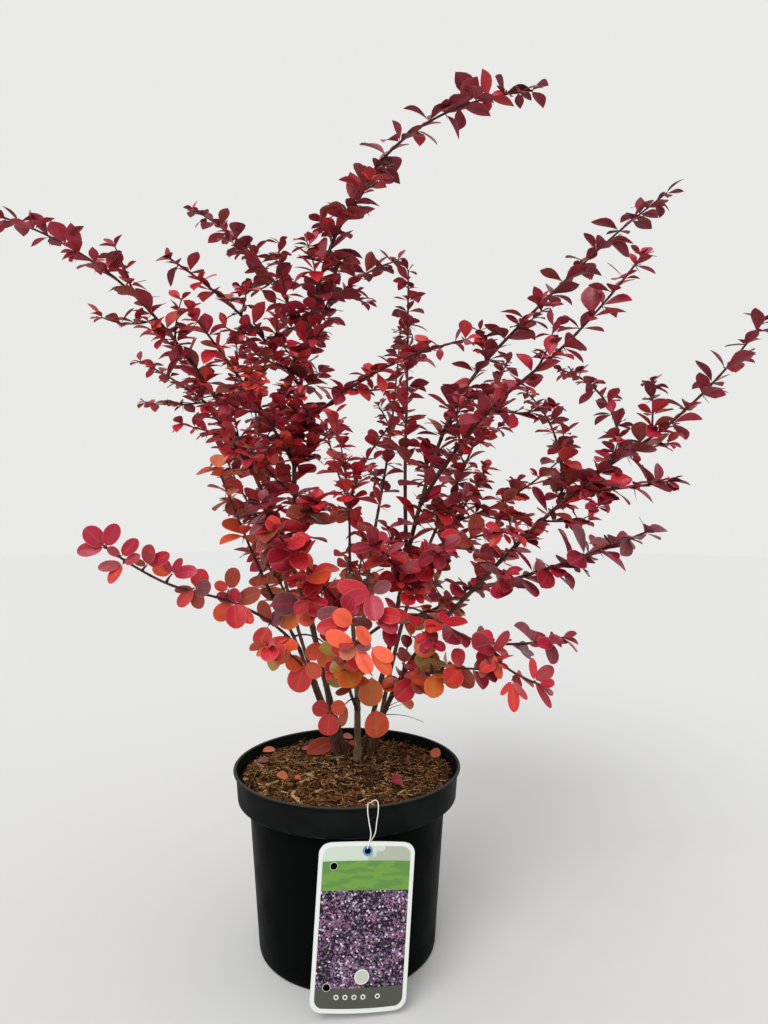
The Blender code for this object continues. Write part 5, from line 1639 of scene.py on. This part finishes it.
class BARBERRY_OT_label(Operator):
    """Add the hanging label"""

    bl_idname = "barberry.label"
    bl_label = "Label"

    def execute(self, context):
        looks = context.scene.barberry_label
        gathered = Gathered()
        self.add_sheets(gathered)
        finishes = [self.card(looks), self.pale_band(looks), self.green_band(looks), self.picture(looks),
                    new_finish("grey printed band", looks.slate, Roughness=0.30, IOR=1.49)[0]]
        mesh = merged(gathered.mesh("label"))
        add_piece("hanging_label", mesh, finishes, ("label_card",), 40)
        self.add_details(looks)
        return {"FINISHED"}

    def add_sheets(self, gathered):
        """Front, back and rim of the card.

        Place (i, j) is at a drop i and, across, at an even share j of the half width there. A border of
        two columns runs down each side, and the rows are cut where the printed bands meet.
        """
        bands = list(zip(CARD_MARKS, CARD_MARKS[1:]))
        counts = [max(4, round((high - low) / 0.0009)) for low, high in bands]
        regions = np.repeat(np.arange(len(bands)), counts)
        drop = [np.linspace(*band, count, endpoint=False) for band, count in zip(bands, counts)]
        drop = np.concatenate(drop + [[CARD_HEIGHT]])
        outer_half = card_half_width(drop, 0.0)[:, None]
        inside = np.clip(drop, CARD_BORDER, CARD_HEIGHT - CARD_BORDER)
        inner_half = np.minimum(card_half_width(inside, CARD_BORDER)[:, None], outer_half)
        left = -outer_half + (outer_half - inner_half) * np.array((0.0, 0.5, 1.0))
        field = inner_half * np.linspace(-1.0, 1.0, 41)[None, 1:-1]
        x = np.concatenate((left, field, -left[:, ::-1]), axis=1)
        y = np.broadcast_to(-drop[:, None], x.shape)
        front = on_card(x, y, np.full(x.shape, CARD_THICKNESS / 2))
        back = on_card(x, y, np.full(x.shape, -CARD_THICKNESS / 2))
        finish = np.zeros((len(drop) - 1, x.shape[1] - 1), int)
        finish[:, 2:-2] = np.where(regions < len(bands) - 1, regions, 0)[:, None]
        marks = np.stack((x / CARD_WIDTH, -y / CARD_WIDTH), axis=-1)
        gathered.add_sheet(front[:, ::-1], finish[:, ::-1], marks[:, ::-1])
        gathered.add_sheet(back, 0, marks)
        for first, second in ((front[:, 0], back[:, 0]), (back[:, -1], front[:, -1]), (back[0], front[0]),
                              (front[-1], back[-1])):
            rim = np.stack((first, second), axis=1)
            gathered.add_sheet(rim, 0, np.zeros((*rim.shape[:2], 2)))

    def card(self, looks):
        """Extruded white plastic sheet with a satin face."""
        made, add, shader = new_finish("white plastic card", looks.card, Roughness=0.34, IOR=1.49)
        place = add("TexCoord", output="Object")
        ripple = add("TexNoise", place, 1 / 0.002, 3.0, LAYER)
        feed(shader, Normal=add("Bump", Height=ripple, Distance=0.00003, Strength=0.5))
        return made

    def pale_band(self, looks):
        """Printed pale field, with a soft grey shape that fills its right side."""
        made, add, shader = new_finish("pale printed band", looks.sky, Roughness=0.30, IOR=1.49)
        place = add("TexCoord", output="UV")
        across = add("SeparateXYZ", place, output="X")
        wander = add("TexNoise", place, 1 / 0.20, 1.0, LAYER)
        edge = add("Math", wander, 1.1, across, operation="MULTIPLY_ADD")
        right = add("MapRange", edge, 0.60, 0.62)
        feed(shader, Base_Color=add("Mix", right, looks.sky, looks.hill, data_type="RGBA"))
        return made

    def green_band(self, looks):
        """Printed green field, with long soft shapes a shade darker."""
        made, add, shader = new_finish("green printed band", looks.green, Roughness=0.30, IOR=1.49)
        place = add("TexCoord", output="UV")
        long = add("Mapping", place, Scale=(0.35, 1.3, 1.0))
        clouds = add("TexNoise", long, 1 / 0.10, 1.0, LAYER)
        shapes = add("MapRange", clouds, 0.48, 0.53)
        leafy = add("Mix", shapes, looks.green, looks.leaf_green, data_type="RGBA")
        feed(shader, Base_Color=leafy)
        return made

    def picture(self, looks):
        """Printed field mottled like a mass of tiny leaves: darks, mauves, pinks and pale specks."""
        made, add, shader = new_finish("mottled printed field", looks.night, Roughness=0.30, IOR=1.49,
                                       Specular_IOR_Level=0.2)
        place = add("TexCoord", output="UV")
        cells = add("TexVoronoi", place, output="Color", Scale=62.0)
        tone, warmth, spark = (add("SeparateXYZ", cells, output=axis) for axis in "XYZ")
        slant = add("Mapping", place, Rotation=(0.0, 0.0, 0.7), Scale=(0.6, 1.4, 1.0))
        drifts = add("TexNoise", slant, 1 / 0.22, 2.0, LAYER)
        drift = add("MapRange", drifts, 0.36, 0.64, -0.26, 0.20)
        level = add("Math", tone, drift, operation="ADD")
        middle = add("MapRange", level, 0.30, 0.62)
        mauve = add("Mix", middle, looks.night, looks.mauve, data_type="RGBA")
        clouds = add("TexNoise", place, 1 / 0.30, 1.0, LAYER)
        warm_side = add("MapRange", clouds, 0.42, 0.60)
        warm = add("Math", warmth, warm_side, operation="MULTIPLY")
        light = add("Mix", warm, looks.heather, looks.lilac, data_type="RGBA")
        high = add("MapRange", level, 0.60, 0.84)
        pink = add("Mix", high, mauve, light, data_type="RGBA")
        speck = add("MapRange", spark, 0.86, 0.95, 0.0, 0.9)
        lit = add("MapRange", level, 0.2, 0.6)
        glint = add("Math", speck, lit, operation="MULTIPLY")
        feed(shader, Base_Color=add("Mix", glint, pink, looks.glint, data_type="RGBA"))
        return made

    def add_details(self, looks):
        """Eyelet ring, two punched holes, a pale disc and a row of plain dots."""
        gathered = Gathered()
        eyelet = (0.0, EYELET_DROP)
        add_disc(gathered, eyelet, (EYELET_RADIUS * 0.55, EYELET_RING), 0.00025, 0)
        add_disc(gathered, eyelet, (EYELET_RADIUS * 0.55, EYELET_RADIUS), 0.00030, 2)
        for place in HOLES:
            add_disc(gathered, place, (PINHOLE, 0.0029), 0.00012, 1)
            add_disc(gathered, place, (PINHOLE, 0.0026), 0.00018, 2)
        add_disc(gathered, BLANK_DISC, (PINHOLE, 0.0054), 0.00015, 1)
        add_disc(gathered, BLANK_DISC, (PINHOLE, 0.0047), 0.00020, 3)
        for x in DOTS:
            add_disc(gathered, (x, DOT_DROP), (PINHOLE, 0.0018), 0.00012, 1)
            add_disc(gathered, (x, DOT_DROP), (PINHOLE, 0.0010), 0.00018, 4)
        finishes = [new_finish("blue eyelet ring", looks.ring, Roughness=0.3)[0],
                    new_finish("white print", looks.card, Roughness=0.3)[0],
                    new_finish("punched hole", looks.hole, Roughness=0.8, Specular_IOR_Level=0.02)[0],
                    new_finish("pale grey print", looks.blank, Roughness=0.3)[0],
                    new_finish("grey print", looks.slate, Roughness=0.3)[0]]
        add_piece("label_print", gathered.mesh("label print"), finishes, crease=40)


# Length in which the string's plies turn once, and its thickness as a share of its solid's
PLY_TURN = 0.0016
STRING_SHARE = 0.70


class BARBERRY_OT_string(Operator):
    """Add the loop of string that the label hangs by"""

    bl_idname = "barberry.string"
    bl_label = "String"

    def execute(self, context):
        looks = context.scene.barberry_label
        thread = STRING_RADIUS + 0.0003
        edge = EYELET_RADIUS - EYELET_DROP
        eye = on_card(0.0, edge - thread, 0.0)
        front = on_card(-STRING_RADIUS, edge, CARD_THICKNESS + thread)
        behind = on_card(STRING_RADIUS, edge, -CARD_THICKNESS - thread)
        middle = eye[0] + STRING_LOOP / 2
        inner = COLLAR_RADIUS - POT_WALL - 2 * thread
        lip = RIM_RADIUS - LIP_HEIGHT / 2

        def strand(side, out):
            """Places up one strand, from above the card to the mulch inside the pot."""
            across = middle + side * STRING_LOOP / 2
            over = RIM_RADIUS + 2 * thread
            rows = ((middle + side * STRING_LOOP * 0.20, over + out, CARD_TOP[2] + 6 * thread),
                    (middle + side * STRING_LOOP * 0.36, over + out / 2, CARD_TOP[2] + 0.013),
                    (across, over, POT_HEIGHT - LIP_HEIGHT),
                    (across, lip + thread, POT_HEIGHT + 1.5 * thread),
                    (across - side * thread, inner + 2 * thread, POT_HEIGHT + (1.6 + side * 0.5) * thread),
                    (middle + side * STRING_LOOP / 4, inner, POT_HEIGHT + (1.5 + side * 0.8) * thread))
            return [(x, -math.sqrt(radius ** 2 - x ** 2), z) for x, radius, z in rows]

        places = [eye, front, *strand(-1, 2.5 * thread), *reversed(strand(1, 0.0)), behind, eye]
        path = Path(places)
        distances = np.linspace(0.0, path.length, 320)
        points = path.at(distances)
        # Two plies: the section has two lobes
        plies = 0.16 * np.cos(2 * (full_turn(10) - 2 * np.pi * distances[:, None] / PLY_TURN))
        gathered = Gathered()
        rings = carried_rings(points, STRING_RADIUS * STRING_SHARE, plies)
        gathered.add(rings[None], points[:1], points[-1:])
        made, add, shader = new_finish("white polyester string", looks.string, Roughness=0.7)
        place = add("TexCoord", output="Object")
        fuzz = add("TexNoise", place, 1 / 0.0003, 3.0, LAYER)
        feed(shader, Normal=add("Bump", Height=fuzz, Distance=0.00004))
        add_piece("white_string", gathered.mesh("string"), [made], ("label_string",))
        return {"FINISHED"}


# Camera: its place, and its angle below level in degrees
CAMERA_PLACE = (0.031, -0.627, 0.373)
CAMERA_TILT = 0.85


class BARBERRY_OT_stage(Operator):
    """Add the floor, the lights and the camera"""

    bl_idname = "barberry.stage"
    bl_label = "Stage"

    def execute(self, context):
        looks = context.scene.barberry_stage
        scene = context.scene
        rings = turned_rings([(radius, 0.0) for radius in (0.4, 1.0, 1.8, 3.0, 5.0)], 96)
        closed = np.concatenate((rings, rings[:, :1]), axis=1)
        disc = np.stack((closed[0] * 0.0, closed[0]))
        gathered = Gathered()
        gathered.add_sheet(closed[:, ::-1], 0)
        gathered.add_sheet(disc[:, ::-1], 0)
        mesh = merged(gathered.mesh("backdrop"))
        mesh.materials.append(new_finish("backdrop paper", looks.paper, Roughness=0.9)[0])
        backdrop = bpy.data.objects.new("backdrop", mesh)
        scene.collection.objects.link(backdrop)
        world = bpy.data.worlds.new("soft studio")
        world.use_nodes = True
        sky = world.node_tree.nodes["Background"]
        sky.inputs["Color"].default_value = (1.0, 1.0, 0.99, 1.0)
        sky.inputs["Strength"].default_value = looks.sky
        scene.world = world
        lamp = bpy.data.lights.new("key", "SUN")
        lamp.energy = looks.key
        lamp.angle = math.radians(35)
        made = bpy.data.objects.new("key", lamp)
        scene.collection.objects.link(made)
        made.rotation_euler = (math.radians(42), 0.0, math.radians(-24))
        camera = bpy.data.cameras.new("camera")
        camera.lens = looks.lens
        camera.sensor_width = 36.0
        camera.sensor_fit = "AUTO"
        made = bpy.data.objects.new("camera", camera)
        scene.collection.objects.link(made)
        made.location = CAMERA_PLACE
        made.rotation_euler = (math.radians(90 - CAMERA_TILT), 0.0, 0.0)
        scene.camera = made
        scene.view_settings.view_transform = "Standard"
        return {"FINISHED"}


class BARBERRY_PT_panel(Panel):
    """Pieces and settings of the barberry"""

    bl_label = "Barberry"
    bl_idname = "BARBERRY_PT_panel"
    bl_space_type = "VIEW_3D"
    bl_region_type = "UI"
    bl_category = "Barberry"

    def draw(self, context):
        for operator in OPERATORS:
            self.layout.operator(operator.bl_idname)
        for name, group in GROUPS.items():
            box = self.layout.box()
            for setting in group.__annotations__:
                box.prop(getattr(context.scene, name), setting)


GROUPS = {"barberry_pot": PotLooks, "barberry_mulch": MulchLooks, "barberry_wood": WoodLooks,
          "barberry_leaf": LeafLooks, "barberry_tints": LeafTints, "barberry_label": LabelLooks,
          "barberry_stage": StageLooks}
OPERATORS = (BARBERRY_OT_pot, BARBERRY_OT_mulch, BARBERRY_OT_canes, BARBERRY_OT_leaves,
             BARBERRY_OT_fallen_leaves, BARBERRY_OT_label, BARBERRY_OT_string, BARBERRY_OT_stage)


def register():
    """Register the settings, the operators and the panel."""
    for group in GROUPS.values():
        bpy.utils.register_class(group)
    for name, group in GROUPS.items():
        setattr(bpy.types.Scene, name, PointerProperty(type=group))
    for operator in OPERATORS:
        bpy.utils.register_class(operator)
    bpy.utils.register_class(BARBERRY_PT_panel)


def unregister():
    """Take the panel, the operators and the settings away again."""
    bpy.utils.unregister_class(BARBERRY_PT_panel)
    for operator in reversed(OPERATORS):
        bpy.utils.unregister_class(operator)
    for name, group in GROUPS.items():
        delattr(bpy.types.Scene, name)
        bpy.utils.unregister_class(group)


def main():
    """Build every piece."""
    register()
    for operator in OPERATORS:
        group, name = operator.bl_idname.split(".")
        getattr(getattr(bpy.ops, group), name)()
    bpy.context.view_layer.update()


if __name__ == "__main__":
    main()
